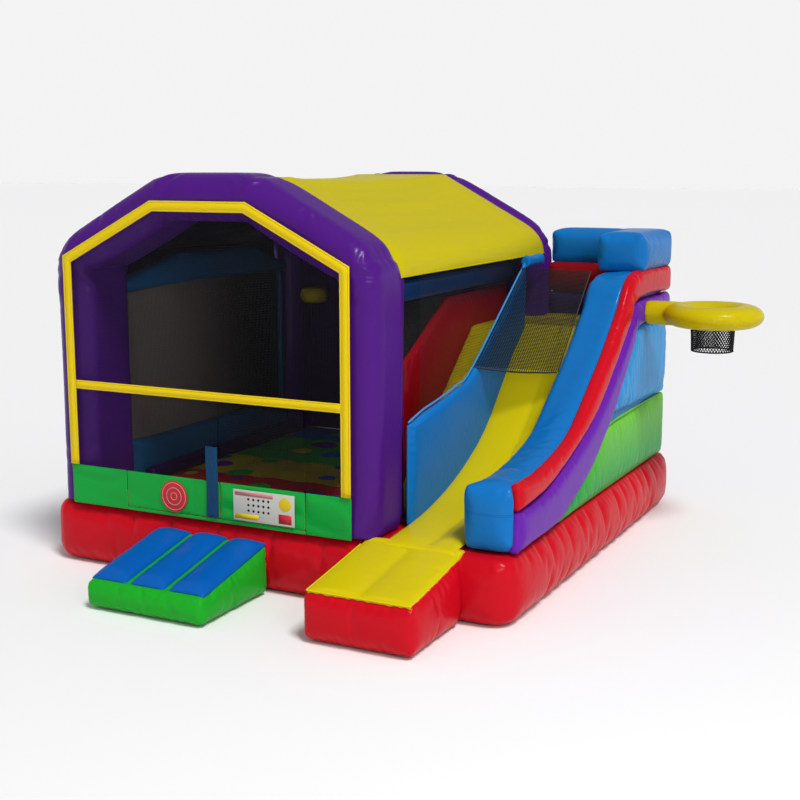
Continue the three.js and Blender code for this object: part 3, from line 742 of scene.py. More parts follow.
def wedge(name, low, high, front_height, corner):
    """A closed wedge with rounded edges, as high as the box at its rear and front_height in front."""
    foot = 0.003
    side = [(high.y, foot), (high.y, high.z - 0.003), (low.y + 0.012, front_height),
            (low.y, front_height - 0.06), (low.y, foot + 0.05), (low.y + 0.04, foot)]
    return bevelled(prism(name, side, "x", low.x + 0.004, high.x - 0.004), corner, 4)


def add_exit_pad():
    low, high = box("exit_pad")
    front_height = 0.464
    pad = wedge("exit_pad_chamber", low, high, front_height, 0.05)
    chamber(pad, 0.03, RED_VINYL, "red_vinyl", ["exit_pad"],
            facing((0, -0.165, 0.98), (0, 0, -1), (0, 1, 0), limit=0.85), dict(inset=0.006),
            pressure=12, slack=0.08, cap=0.06)
    front, rear = low.y + 0.016, high.y
    path = [(front, front_height - 0.004), (front + 0.05, front_height + 0.007),
            (front + 0.5, 0.540), (rear, 0.616), (rear + 0.06, 0.640), (rear + 0.14, 0.640)]
    x0, x1 = low.x + 0.018, high.x - 0.018
    top = swept("exit_pad_cover", path, x0, x1, seams=(0, 0.5, 1), crown=0.026, thick=0.045,
                pucker=0.016, ends=0.05, spacing=0.028)
    finish_piece(top, YELLOW_VINYL, slot="yellow_vinyl")
    rim = smooth_path([(x0, rear, 0.612), (x0, front + 0.5, 0.536), (x0, front, front_height)], 0.05)
    front_rim = smooth_path([(x0, front - 0.002, front_height), (x1, front - 0.002, front_height)], 0.05)
    other = smooth_path([(x1, front, front_height), (x1, front + 0.5, 0.536), (x1, rear, 0.612)], 0.05)
    piping = tube("exit_pad_piping", np.concatenate([rim, front_rim, other]), 0.008, sides=8)
    finish_piece(piping, TRIM_VINYL, slot="yellow_vinyl")


def add_ramp():
    low, high = box("ramp_body")
    front_height = 0.272
    ramp = wedge("ramp_chamber", low, high, front_height, 0.03)
    remeshed(ramp, 0.028, inset=0.006)
    inflate(ramp, facing((0, -0.21, 0.97), (0, 0, -1), (0, 1, 0), limit=0.88), pressure=8,
            slack=0.05, cap=0.045)
    finish_piece(ramp, LIME_VINYL, body="ramp", nodes=["ramp_body"], slot="green_vinyl")
    rise = (high.z - front_height) / (high.y - low.y)

    def surface(y):
        return front_height + rise * (y - low.y)

    for where in ("left", "middle", "right"):
        node = f"ramp_tread_{where}"
        tread_low, tread_high = box(node)
        start = low.y + 0.065
        path = [(start, surface(start) - 0.010), (start + 0.05, surface(start + 0.05)),
                (-0.5, surface(-0.5)), (tread_high.y, surface(tread_high.y))]
        tread = swept(f"ramp_tube_{where}", path, tread_low.x - 0.010, tread_high.x + 0.010,
                      crown=0.066, thick=0.03, pucker=0.012, ends=0.12, spacing=0.022)
        finish_piece(tread, DEEP_BLUE_VINYL, body="ramp", nodes=[node], slot="blue_vinyl")


# ---- arches and roof ----------------------------------------------------------------------------
def eave_curve():
    """The arch's rounded outer corner on the left, from the column up to the rafter."""
    corner = np.array(EAVE)
    rise = (RIDGE[1] - EAVE[1]) / (RIDGE[0] - EAVE[0])
    below = corner - (0, EAVE_ROUND)
    along = corner + (EAVE_ROUND, EAVE_ROUND * rise)
    return [tuple((1 - t) ** 2 * below + 2 * t * (1 - t) * corner + t * t * along)
            for t in np.linspace(0, 1, 9)]


def across(points):
    """The same (x, z) points on the arch's other side, in reverse order."""
    return [(ARCH_WIDTH - x, z) for x, z in reversed(points)]


def pressed_section(depth_y, pressed, round_by=0.17, dent=0.060):
    """A tube's rounded section as (depth, y) points, its outer side pressed in by the roof cloth
    between the two y values of pressed."""
    section = []
    outline = rounded(0, 0, ARCH_DEPTH, depth_y, round_by)
    for (d0, y0), (d1, y1) in zip(outline, outline[1:] + outline[:1]):
        pieces = max(1, round(math.dist((d0, y0), (d1, y1)) / 0.03))
        section += [(d0 + (d1 - d0) * k / pieces, y0 + (y1 - y0) * k / pieces)
                    for k in range(pieces)]
    low, high = pressed
    held = []
    for depth, y in section:
        share = min(max((y - low) / 0.04, 0), 1) * min(max((high - y) / 0.04, 0), 1)
        held.append((max(depth, dent * share), y))
    return held


def arch_tube(name, y0, y1, pressed):
    """One arch as a single air tube: a section swept from foot to foot."""
    curve = eave_curve()
    outer = [(EAVE[0], BASE_TOP)] + curve + [RIDGE]
    inner = [(EAVE_INNER[0], BASE_TOP)] + [EAVE_INNER] * len(curve) + [RIDGE_INNER]
    stations = list(zip(outer + across(outer), inner + across(inner)))
    section = pressed_section(y1 - y0, pressed)
    vertices = []
    for out, into in stations:
        for depth, y in section:
            share = depth / ARCH_DEPTH
            vertices.append((out[0] + (into[0] - out[0]) * share, y0 + y,
                             out[1] + (into[1] - out[1]) * share))
    faces = ring_faces(len(stations), len(section))
    return with_outward_faces(make_object(name, vertices, faces))


def along_seams(lines, reach):
    """Holds the points within reach of one of the seams, each two (x, z) points."""
    def rule(points, facings):
        flat = points[:, [0, 2]]
        nearest = np.full(len(flat), np.inf)
        for start, end in lines:
            start, end = np.array(start), np.array(end)
            run = end - start
            share = np.clip((flat - start) @ run / (run @ run), 0, 1)
            nearest = np.minimum(nearest, np.linalg.norm(flat - start - share[:, None] * run, axis=1))
        return nearest < reach
    return rule


def add_arch(label, y0, y1):
    under_roof = (max(ROOF_FRONT - y0 - 0.02, -0.1), min(ROOF_REAR - y0 + 0.02, y1 - y0 + 0.1))
    arch = arch_tube(f"{label}_arch_tube", y0, y1, under_roof)
    remeshed(arch, 0.04, inset=0.012)
    middle = eave_curve()[4]
    seams = [(middle, EAVE_INNER), (RIDGE, RIDGE_INNER)]
    seams += [((ARCH_WIDTH - a[0], a[1]), (ARCH_WIDTH - b[0], b[1])) for a, b in seams]
    inflate(arch, any_of(along_seams(seams, SEAM_REACH), facing((0, 0, -1), limit=0.95)),
            slack=0.025, cap=0.035)
    nodes = [f"{label}_{part}" for part in ("column_left", "rafter_left", "ridge", "rafter_right",
                                            "column_right")]
    finish_piece(arch, PURPLE_VINYL, nodes=nodes, slot="purple_vinyl")


ROOF_FRONT = 0.62
ROOF_REAR = 4.45
ROOF_EDGE = 2.985
FRONT_ARCH = (0.003, 0.85)
REAR_ARCH = (4.0, 4.70)


def roof_line():
    """The arches' outer line between the roof's lower edges, as (x, z) points."""
    left = [(EAVE[0], ROOF_EDGE)] + [p for p in eave_curve() if p[1] > ROOF_EDGE] + [RIDGE]
    return np.array(left + across(left))


def roof_shape():
    """place(u, v, lift) on the roof cloth, and its width along the slopes."""
    line = roof_line()
    lengths = distances_along(line)
    total = lengths[-1]

    def spot(s):
        return np.array([np.interp(s, lengths, line[:, k]) for k in (0, 1)])

    def place(u, v, lift):
        s = u * total
        x, z = spot(s)
        ahead = spot(min(s + 0.05, total)) - spot(max(s - 0.05, 0))
        ahead /= np.linalg.norm(ahead)
        y = ROOF_FRONT + (ROOF_REAR - ROOF_FRONT) * v
        span = min(max((y - FRONT_ARCH[1]) / (REAR_ARCH[0] - FRONT_ARCH[1]), 0), 1)
        free = math.sin(math.pi * span) ** 0.6 if 0 < span < 1 else 0.0
        sag = 0.05 * free * min(1.0, 0.45 + min(s, total - s) / 0.8)
        drift = 0.30 * noise.noise(Vector((s * 0.7, y * 0.5, 3.1)))
        fold = noise.noise(Vector((s * 5.5 + drift * 6, y * 0.75, 1.7)))
        fine = noise.noise(Vector((s * 15 + drift * 9, y * 1.6, 8.2)))
        tucked = min(1.0, (y - ROOF_FRONT) / 0.10, (ROOF_REAR - y) / 0.10)
        folds = (0.12 + 0.88 * free) * (0.014 * fold + 0.005 * fine)
        out = -0.022 - 0.030 * (1 - tucked) + lift - sag + folds
        return (x - ahead[1] * out, y, z + ahead[0] * out)

    return place, total


def add_roof():
    place, total = roof_shape()
    roof = layered_sheet("roof_cover", place, 150, 70, 0.0, -0.008)
    finish_piece(roof, ROOF_VINYL, nodes=["roof_sheet"], slot="yellow_vinyl")
    for label, side in (("left", 0.0), ("right", 1.0)):
        points = [place(side, v, -0.002) for v in np.linspace(0, 1, 60)]
        hem = tube(f"roof_hem_{label}", points, 0.009, sides=8)
        finish_piece(hem, ROOF_VINYL, slot="yellow_vinyl")
    # Painted shade: a near-black sheet just under the roof cloth between the arches, standing in for the
    # roof's shaded underside.
    shade_span = ((FRONT_ARCH[1] + 0.01 - ROOF_FRONT) / (ROOF_REAR - ROOF_FRONT),
             (REAR_ARCH[0] - 0.01 - ROOF_FRONT) / (ROOF_REAR - ROOF_FRONT))
    roof_shade_sheet = layered_sheet("roof_painted_shade_sheet", lambda u, v, lift: place(
        u, shade_span[0] + (shade_span[1] - shade_span[0]) * v, lift), 70, 30, -0.020, -0.026)
    finish_piece(roof_shade_sheet, PAINTED_SHADE_SHEET_VINYL, slot="purple_vinyl")


# ---- front screen -------------------------------------------------------------------------------
def gable(inset, foot):
    """The window frame's outline moved inwards: foot, eave, gable, eave, foot, as (x, z) points."""
    eave, ridge = Vector((0.0, 3.118)), Vector((1.07, 3.664))
    slope = (ridge - eave).normalized()
    at_eave = inset * (slope.y - 1) / slope.x
    at_ridge = inset * (1 - slope.x) / slope.y
    left = [(inset, foot), (inset, eave.y + at_eave), (ridge.x + at_ridge, ridge.y - inset)]
    return left + across(left)


def add_window_frame():
    low, high = box("window_frame")
    back = high.y + 0.001
    middle = 0.05
    arch = [(x, back, z) for x, z in gable(middle, low.z + 0.002)]
    frame_strap = ribbon("window_strap", arch, 0.10, 0.012, "-y")
    bar = ribbon("window_bar", [(0.09, back + 0.001, 1.85), (3.11, back + 0.001, 1.85)], 0.086, 0.010,
                 "-y")
    finish_piece(frame_strap, TRIM_VINYL, nodes=["window_frame"], slot="yellow_vinyl", levels=0)
    finish_piece(bar, TRIM_VINYL, slot="yellow_vinyl", levels=0)


def creased_sheet(name, x0, x1, z0, z1, y, thick=0.006, crease=0.026, seed=0.0, hem=0.03, calm=0.0):
    """A hanging flap in the XZ plane with diagonal creases and a doubled hem along its top. It stays
    flat over a width of calm at its right edge."""
    columns = max(8, round((x1 - x0) / 0.020))
    rows = max(8, round((z1 - z0) / 0.020))

    def front(u, v):
        x, z = x0 + (x1 - x0) * u, z0 + (z1 - z0) * v
        slant = abs(noise.noise(Vector((x * 0.9 + z * 3.2, z * 0.9 - x * 0.5, seed))))
        fine = noise.noise(Vector((x * 3 + z * 10, z * 3 - x * 2, seed + 5)))
        edge = min(1.0, (z1 - z) / 0.06, (z - z0) / 0.05 + 0.3, (x - x0) / 0.05,
                   (x1 - calm - x) / 0.05)
        band = 0.0025 if z1 - z < hem else 0.0
        return (x, y - max(0.0, edge) * crease * (1.5 * slant + 0.12 * fine) - band, z)

    top = grid_patch(front, columns, rows)[0]
    under = [(px, py + thick, pz) for px, py, pz in top]
    return thick_sheet(name, top, under, columns, rows)


DOOR = {"left": 0.68, "split": 1.775, "right": 2.72, "bottom": 0.668, "top": 1.798}
SILL_TOP = 1.03
FLAP_FACE = -0.020


def add_front_screen():
    low, high = box("front_net")
    y = (low.y + high.y) / 2
    notch = [(DOOR["right"], low.z), (DOOR["right"], DOOR["top"]), (DOOR["left"], DOOR["top"]),
             (DOOR["left"], low.z)]
    outline = gable(0.03, low.z) + notch
    front = net("front_window_net", outline, lambda u, v, w: (u, y + w, v), 0.015, 0.0012)
    finish_piece(front, NET_BLACK, nodes=["front_net"], slot="black_net", levels=0)
    sill_low, sill_high = box("front_sill")
    parts = []
    for k, (x0, x1, z1) in enumerate([(sill_low.x, DOOR["left"], SILL_TOP),
                                      (DOOR["left"], DOOR["right"], DOOR["bottom"] - 0.003),
                                      (DOOR["right"], sill_high.x, SILL_TOP)]):
        parts.append(creased_sheet(f"sill_{k}", x0, x1, sill_low.z, z1, FLAP_FACE + 0.009,
                                   seed=2.0 + k))
    sill = joined("front_sill_flaps", parts)
    finish_piece(sill, GREEN_VINYL, nodes=["front_sill"], slot="green_vinyl")


def add_doors():
    y = -0.013
    for side, x0, x1 in (("left", DOOR["left"] + 0.004, DOOR["split"] - 0.0015),
                         ("right", DOOR["split"] + 0.0015, DOOR["right"] - 0.004)):
        body = f"door_{side}"
        flap = creased_sheet(f"door_flap_{side}_sheet", x0, x1, DOOR["bottom"], SILL_TOP,
                             FLAP_FACE + 0.008, seed=7.3 if side == "left" else 4.1,
                             calm=0.30 if side == "left" else 0.0)
        finish_piece(flap, GREEN_VINYL, body=body, nodes=[f"door_flap_{side}"], slot="green_vinyl")
        outline = rectangle(x0, SILL_TOP - 0.01, x1, DOOR["top"])
        leaf = net(f"door_net_{side}_mesh", outline, lambda u, v, w: (u, y + w, v), 0.015, 0.0012)
        finish_piece(leaf, NET_BLACK, body=body, nodes=[f"door_net_{side}"], slot="black_net",
                     levels=0)
    add_zip()
    add_badge()
    add_sign()


def add_zip():
    low, high = box("zip_cover")
    columns, rows = 14, 60

    def front(u, v):
        x, z = low.x + (high.x - low.x) * u, low.z + (high.z - low.z) * v
        fold = noise.noise(Vector((x * 30, z * 7, 4.4)))
        roll = 0.006 * math.sin(math.pi * u) ** 0.5
        return (x + 0.004 * noise.noise(Vector((z * 9, 1.5, 0))), low.y + 0.005 - roll + 0.010 * fold, z)

    top = grid_patch(front, columns, rows)[0]
    under = [(point[0], high.y, point[2]) for point in top]
    cover = thick_sheet("zip_cover_flap", top, under, columns, rows)
    finish_piece(cover, ZIP_VINYL, body="zip_cover", nodes=["zip_cover"], slot="blue_vinyl")
    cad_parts["zip_slider"].data.materials.clear()
    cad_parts["zip_slider"].data.materials.append(NICKEL)


def disc(name, cx, cz, radius, y, thick, sides=48):
    outline = arc(cx, cz, radius, 0, 360 * (sides - 1) / sides, sides - 1)
    return bevelled(prism(name, outline, "y", y - thick, y), thick * 0.4, 2)


def add_badge():
    """A plain round badge on the left flap: a red disc with paler rings, no lettering."""
    x, z, y = 1.256, 0.835, FLAP_FACE - 0.012
    badge = disc("flap_badge", x, z, 0.155, y + 0.006, 0.006)
    finish_piece(badge, BADGE_RED, body="door_left", slot="red_vinyl", levels=0)
    rings = [tube(f"ring_{k}", circle(lambda c, s: (x + radius * c, y + 0.0005, z + radius * s), 48),
                  0.0035, closed=True) for k, radius in enumerate((0.135, 0.085, 0.035))]
    finish_piece(joined("flap_badge_rings", rings), BADGE_PALE, body="door_left", slot="red_vinyl",
                 levels=0)


def add_sign():
    """A generic notice on the right flap: coloured fields and rows of dots, with no lettering."""
    x0, x1, z0, z1, y = 1.943, 2.613, 0.690, 0.990, FLAP_FACE - 0.012
    panel = bevelled(prism("notice_panel", rectangle(x0, z0, x1, z1), "y", y - 0.004, y + 0.006),
                     0.003, 2)
    finish_piece(panel, SIGN_WHITE, body="door_right", slot="green_vinyl", levels=0)
    face = y - 0.004
    fields = [("notice_header", PINK, (x0 + 0.02, z1 - 0.055, x0 + 0.44, z1 - 0.02)),
              ("notice_strip", SIGN_YELLOW, (x0 + 0.02, z0 + 0.02, x0 + 0.28, z0 + 0.07)),
              ("notice_square", BADGE_RED, (x1 - 0.17, z0 + 0.02, x1 - 0.03, z0 + 0.11))]
    for name, material, (u0, v0, u1, v1) in fields:
        field = prism(name, rectangle(u0, v0, u1, v1), "y", face - 0.0015, face + 0.001)
        finish_piece(field, material, body="door_right", slot="green_vinyl", levels=0)
    sun = disc("notice_circle", x1 - 0.10, z1 - 0.095, 0.065, face + 0.001, 0.0025)
    finish_piece(sun, SIGN_YELLOW, body="door_right", slot="green_vinyl", levels=0)
    dots = [disc(f"dot_{i}_{j}", x0 + 0.17 + i * 0.055, z0 + 0.105 + j * 0.055, 0.013, face + 0.001,
                 0.0025, 12) for i in range(5) for j in range(3)]
    finish_piece(joined("notice_dots", dots), INK, body="door_right", slot="green_vinyl", levels=0)


# ---- bounce room walls --------------------------------------------------------------------------
# Height of the near-black painted shade strip under the left eave.
EAVE_SHADE_HEIGHT = 0.32


def add_left_wall():
    # Painted shade: the left wall's beam and panel get a darkened blue for the shade inside the house.
    for name, node, sewn, slack in (("left_beam_tube", "left_beam", ENDS, 0.01),
                                    ("left_panel_chamber", "left_panel", (*ENDS, (0, 0, -1)), 0.02)):
        chamber(copy_of(name, node), 0.035, PAINTED_SHADE_BLUE_VINYL, "blue_vinyl", [node],
                facing(*sewn, limit=0.8), dict(inset=0.01, flush=ENDS + TOP_AND_FOOT), slack=slack,
                cap=0.03)
    low, high = box("left_net")
    outline = rectangle(low.y - 0.04, low.z - 0.04, high.y + 0.04, high.z + 0.05)
    x = (low.x + high.x) / 2
    mesh = net("left_wall_net", outline, lambda u, v, w: (x + w, u, v), 0.009, 0.0071)
    finish_piece(mesh, NET_GREY, nodes=["left_net"], slot="black_net", levels=0)
    # Painted shade: the skirting gets the purple darkened to 45 %, low inside the house.
    skirting = tube("left_skirting_tube", smooth_path([(0.20, 0.96, 0.735), (0.205, 2.4, 0.74),
                                                       (0.20, 3.99, 0.735)], 0.05), 0.075, sides=16)
    finish_piece(skirting, SHADED_PURPLE_VINYL, slot="purple_vinyl")
    # Painted shade: the upright also gets the darkened blue.
    upright = tube("left_rear_upright", smooth_path([(0.03, 3.955, 1.10), (0.03, 3.955, 2.70)], 0.05),
                   0.035, sides=12)
    finish_piece(upright, PAINTED_SHADE_BLUE_VINYL, slot="blue_vinyl")

    # Painted shade: a near-black strip along the top of the left wall, standing in for the shade under
    # the roof's eave.
    def eave_shade_place(u, v, shift):
        y, z = low.y - 0.01 + (high.y - low.y + 0.02) * u, 2.76 + EAVE_SHADE_HEIGHT * v
        return (-0.072 - 0.012 * v + 0.006 * noise.noise(Vector((y * 2, z * 3, 6.0))) + shift, y, z)

    eave = layered_sheet("left_eave_painted_shade_sheet", eave_shade_place, 60, 12, 0.004, -0.002)
    finish_piece(eave, PAINTED_SHADE_SHEET_VINYL, slot="purple_vinyl")


def add_rear_wall():
    low, high = box("rear_wall")
    left = [(EAVE_INNER[0] - 0.06, low.z), (EAVE_INNER[0] - 0.06, EAVE_INNER[1] + 0.03),
            (RIDGE_INNER[0] - 0.02, RIDGE_INNER[1] + 0.06)]
    wall = prism("rear_wall_panel", left + across(left), "y", low.y, high.y)
    seams = near_planes([(0, 0.85), (0, 1.6), (0, 2.35)], SEAM_REACH)
    # Painted shade: the rear wall gets the purple darkened to 45 %, for the shaded back of the room.
    chamber(wall, 0.04, SHADED_PURPLE_VINYL, "purple_vinyl", ["rear_wall"],
            any_of(seams, facing(*SIDES, (0, 0, -1), limit=0.6)), slack=0.03, cap=0.04)


def add_mid_wall():
    # Painted shade: the mid beam under the roof gets a dark navy copy of the blue.
    chamber(copy_of("mid_beam_tube", "mid_beam"), 0.03, SHADED_BEAM_BLUE_VINYL, "blue_vinyl", ["mid_beam"],
            facing(*ENDS, limit=0.8), dict(inset=0.008, flush=ENDS), slack=0.02, cap=0.03)
    outline = [(0.853, 2.68), (0.853, 2.10), (1.28, 2.10), (2.31, 2.68)]
    x = (box("mid_net")[0].x + box("mid_net")[1].x) / 2
    mesh = net("mid_wall_net", outline, lambda u, v, w: (x + w, u, v), 0.018, 0.0105)
    finish_piece(mesh, NET_BLACK, nodes=["mid_net"], slot="black_net", levels=0)
    # Painted shade: the climbing wall gets the red darkened to about half.
    chamber(copy_of("climb_wall_panel", "climb_wall"), 0.035, SHADED_RED_VINYL, "red_vinyl",
            ["climb_wall"], facing(*ENDS, (0, 0, -1), (0, -0.5, 0.86), limit=0.7),
            dict(inset=0.004, flush=ENDS + TOP_AND_FOOT), slack=0.02, cap=0.025)


# ---- climbing lane and slide --------------------------------------------------------------------
def add_climb_lane():
    # Painted shade: the climbing ramp and platform get yellow darkened to olive, for the shade of the
    # lane under its nets and roof.
    for name, node in (("climb_ramp_chamber", "climb_ramp"), ("platform_chamber", "platform_deck")):
        chamber(copy_of(name, node), 0.035, SHADE_AND_SEAM_YELLOW_VINYL, "yellow_vinyl", [node],
                facing(*SIDES, limit=0.8), dict(inset=0.008, flush=SIDES), slack=0.015, cap=0.025)


def add_slide():
    bed = copy_of("slide_bed_chamber", "slide_bed")
    remeshed(bed, 0.04, inset=0.02)
    finish_piece(bed, YELLOW_VINYL, nodes=["slide_bed"], slot="yellow_vinyl")
    low, high = box("slide_bed")
    cover = swept("slide_cover", CHUTE_LINE, low.x - 0.004, high.x + 0.004, seams=(0, 0.62, 1),
                  crown=0.026, thick=0.012, pucker=0.010, spacing=0.03, ends=0.25)
    finish_piece(cover, YELLOW_VINYL, slot="yellow_vinyl")
    seam_x = low.x + 0.62 * (high.x - low.x)
    seam_line = [(seam_x, p[0], p[1] + 0.001) for p in smooth_path(CHUTE_LINE, 0.06)]
    seam = tube("slide_cover_seam", seam_line, 0.007, sides=8)
    finish_piece(seam, SHADE_AND_SEAM_YELLOW_VINYL, slot="yellow_vinyl")
    node_low, node_high = box("slide_divider")
    line = [tuple(p) for p in smooth_path(DIVIDER_LINE, 0.06)]
    outline = ([(DIVIDER_LINE[0][0], BASE_TOP), (3.50, BASE_TOP), (3.50, 2.87), (3.997, 2.87),
                (3.997, 2.975), (3.54, 2.975)] + line[::-1])
    divider = prism("divider_wall", outline, "x", node_low.x, node_high.x)
    chamber(bevelled(divider, 0.02), 0.024, BLUE_VINYL, "blue_vinyl", ["slide_divider"],
            facing(*ENDS, (0, 0, -1), limit=0.7), dict(inset=0.003, flush=ENDS), slack=0.02, cap=0.02)
    # Painted highlight: the piping along the divider's top edge and rear upright is a paler blue,
    # standing in for the light caught on those edges.
    edge = [(node_low.x + 0.033, y, z + 0.004) for y, z in line]
    piping = tube("divider_piping", edge + [(edge[-1][0], 3.51, 2.88)], 0.011, sides=8)
    finish_piece(piping, HIGHLIGHT_PIPING_BLUE, slot="blue_vinyl")
    upright = tube("divider_rear_piping", [(3.468, 3.512, z) for z in np.linspace(2.25, 2.87, 14)],
                   0.009, sides=8)
    finish_piece(upright, HIGHLIGHT_PIPING_BLUE, slot="blue_vinyl")
    link = prism("link_beam_tube", rounded(3.425, 2.872, 3.535, 3.015, 0.045), "y", 3.50, 3.995)
    chamber(link, 0.025, BLUE_VINYL, "blue_vinyl", [], facing(*ENDS, limit=0.8), dict(inset=0.004),
            slack=0.02, cap=0.015)


def band_outline(upper, lower, lift, start):
    """The band between two edge lines, from "start" along the side to the tower's rear."""
    top = [tuple(p) for p in smooth_path(upper, 0.10) if p[0] >= start]
    bottom = [(p[0], p[1] + lift) for p in smooth_path(lower, 0.10) if p[0] >= start]
    return bottom + top[::-1]


BAND_START = 0.215


def block_seam(nodes, place):
    """Blue vinyl with a double row of stitches round the wall's front block."""
    split = nodes.add("ShaderNodeSeparateXYZ", Vector=place)
    front = nodes.math("LESS_THAN", nodes.math("SUBTRACT", split.outputs["Y"], SHIFT.y), 0.32)
    rows = []
    for height in (0.985, 1.0):
        offset = nodes.math("ABSOLUTE", nodes.math("SUBTRACT", split.outputs["Z"], height))
        rows.append(nodes.math("LESS_THAN", offset, 0.0028))
    stitched = nodes.math("MULTIPLY", nodes.math("MAXIMUM", *rows), front)
    return nodes.mix(nodes.math("MULTIPLY", stitched, 0.55), shade(BLUE, 1.0), shade(BLUE, 0.35))


def add_outer_wall():
    low, high = box("slide_outer_wall")
    outline = ([(0.155, 0.634), (4.945, 0.634)]
               + [tuple(p) for p in smooth_path(RAIL_LINE, 0.08)][::-1])
    wall = bevelled(prism("wall", outline, "x", low.x, high.x + 0.01), 0.12, 5)
    front = bevelled(prism("front", rectangle(0.155, 0.634, 0.50, 1.262), "x", low.x, 4.715), 0.10, 5)
    front_cut = prism("cut", rectangle(BAND_START, 0.60, 1.0, 1.30), "x", high.x + 0.006, 4.80)
    trim = front.modifiers.new("trim", "BOOLEAN")
    trim.operation = "DIFFERENCE"
    trim.object = front_cut
    apply_modifiers(front)
    bpy.data.objects.remove(front_cut)
    body = joined("outer_wall_chamber", [wall, front])

    def held(points, facings):
        foot = facings[:, 2] < -0.8
        behind_bands = (points[:, 0] > high.x - 0.05) & (points[:, 1] > BAND_START)
        return foot | behind_bands

    material = vinyl("outer_wall_vinyl", BLUE, wrinkle=0.16, pattern=block_seam)
    chamber(body, 0.04, material, "blue_vinyl", ["slide_outer_wall"], held,
            dict(inset=0.010, smooth=3), pressure=5, slack=0.02, cap=0.04)
    band_low, band_high = box("side_band_red")
    bands = (("side_band_red_tube", "side_band_red", RAIL_LINE, BORDER_LINE, RED_VINYL, "red_vinyl",
              None),
             ("side_band_purple_tube", "side_band_purple", BORDER_LINE, SKIRT_LINE,
              BRIGHT_PURPLE_VINYL, "purple_vinyl", (BAND_START, 0.636)))
    for name, node, upper, lower, material, slot, corner in bands:
        outline = band_outline(upper, lower, 0.002, BAND_START)
        if corner:
            outline = [corner] + outline
        band = prism(name, outline, "x", band_low.x - 0.03, band_high.x - 0.004)
        chamber(bevelled(band, 0.035), 0.026, material, slot, [node],
                facing((-1, 0, 0), *ENDS, limit=0.7),
                dict(inset=0.003, flush=ENDS + TOP_AND_FOOT), pressure=5, slack=0.012, cap=0.03)


def painted_top_light_green(nodes, place):
    """Painted light: lime at the panel's top, turning green towards its foot, for the light falling from
    above.
    """
    height = nodes.add("ShaderNodeSeparateXYZ", Vector=place).outputs["Z"]
    share = nodes.add("ShaderNodeMapRange", Value=height, From_Min=0.75, From_Max=1.35)
    return nodes.mix(share.outputs["Result"], shade(GREEN, 0.9), shade(LIME, 1.0))


def add_side_panels():
    low, high = box("side_panel_blue")
    split = 1.37
    skirt = [tuple(p) for p in smooth_path(SKIRT_LINE, 0.10)]
    upper = [(TOWER_REAR, split)] + [p for p in skirt if p[1] > split][::-1]
    lower = [p for p in skirt if p[1] < split - 0.01]
    green_low = max(p[0] for p in skirt if p[1] < 0.66)
    panels = (("side_panel_blue_chamber", "side_panel_blue", upper, PUCKERED_BLUE, "blue_vinyl", 0.06),
              ("side_panel_green_chamber", "side_panel_green",
               [(green_low, BASE_TOP), (TOWER_REAR, BASE_TOP), (TOWER_REAR, split - 0.003)]
               + [p for p in lower if p[0] > green_low][::-1], SIDE_GREEN_PAINTED_LIGHT, "green_vinyl", 0.02))
    for name, node, outline, material, slot, slack in panels:
        panel = prism(name, outline, "x", low.x - 0.03, high.x - 0.012)
        chamber(bevelled(panel, 0.015), 0.03, material, slot, [node],
                facing((-1, 0, 0), *ENDS, (0, -0.7, 0.7), *TOP_AND_FOOT, limit=0.75),
                pressure=5, slack=slack, cap=0.035)
    edge = [(high.x - 0.006, y, z + 0.004) for y, z in lower if y > 1.45]
    edge += [(high.x - 0.006, edge[-1][1] + 0.10, split), (high.x - 0.006, 4.94, split)]
    piping = tube("side_panel_piping", edge, 0.009, sides=8)
    finish_piece(piping, SIDE_GREEN_PAINTED_LIGHT, slot="green_vinyl")


def add_tower():
    side_low, side_high = box("tower_rail_side")
    rear_low = box("tower_rail_rear")[0]
    front = rear_low.y + 0.18
    plan = [(rear_low.x - 0.02, front), (side_low.x, front), (side_low.x, side_low.y),
            (side_high.x, side_low.y), (side_high.x, side_high.y), (rear_low.x - 0.02, side_high.y)]
    rail = bevelled(prism("tower_rail_chamber", plan, "z", side_low.z - 0.02, side_high.z - 0.004),
                    0.05, 3)
    chamber(rail, 0.03, BLUE_VINYL, "blue_vinyl", ["tower_rail_side", "tower_rail_rear"],
            facing((0, 0, -1), limit=0.8), dict(inset=0.006, flush=((0, 0, -1), (-1, 0, 0))),
            slack=0.015, pressure=5, cap=0.03)
    low, high = box("tower_rear_wall")
    for name, z0, z1, material, slot in (
            # Painted shade: the tower's lower wall gets the darkened purple.
            ("tower_wall_lower", low.z, 2.535, SHADED_PURPLE_VINYL, "purple_vinyl"),
            # Painted shade: the tower's red band gets the darkened red.
            ("tower_wall_band", 2.53, high.z + 0.01, SHADED_RED_VINYL, "red_vinyl")):
        wall = prism(name, rectangle(low.x - 0.03, low.y, high.x + 0.05, high.y), "z", z0, z1)
        chamber(bevelled(wall, 0.05), 0.035, material, slot,
                ["tower_rear_wall"] if name == "tower_wall_lower" else [],
                facing(*TOP_AND_FOOT, limit=0.8), dict(inset=0.004, flush=TOP_AND_FOOT), slack=0.02,
                cap=0.035)


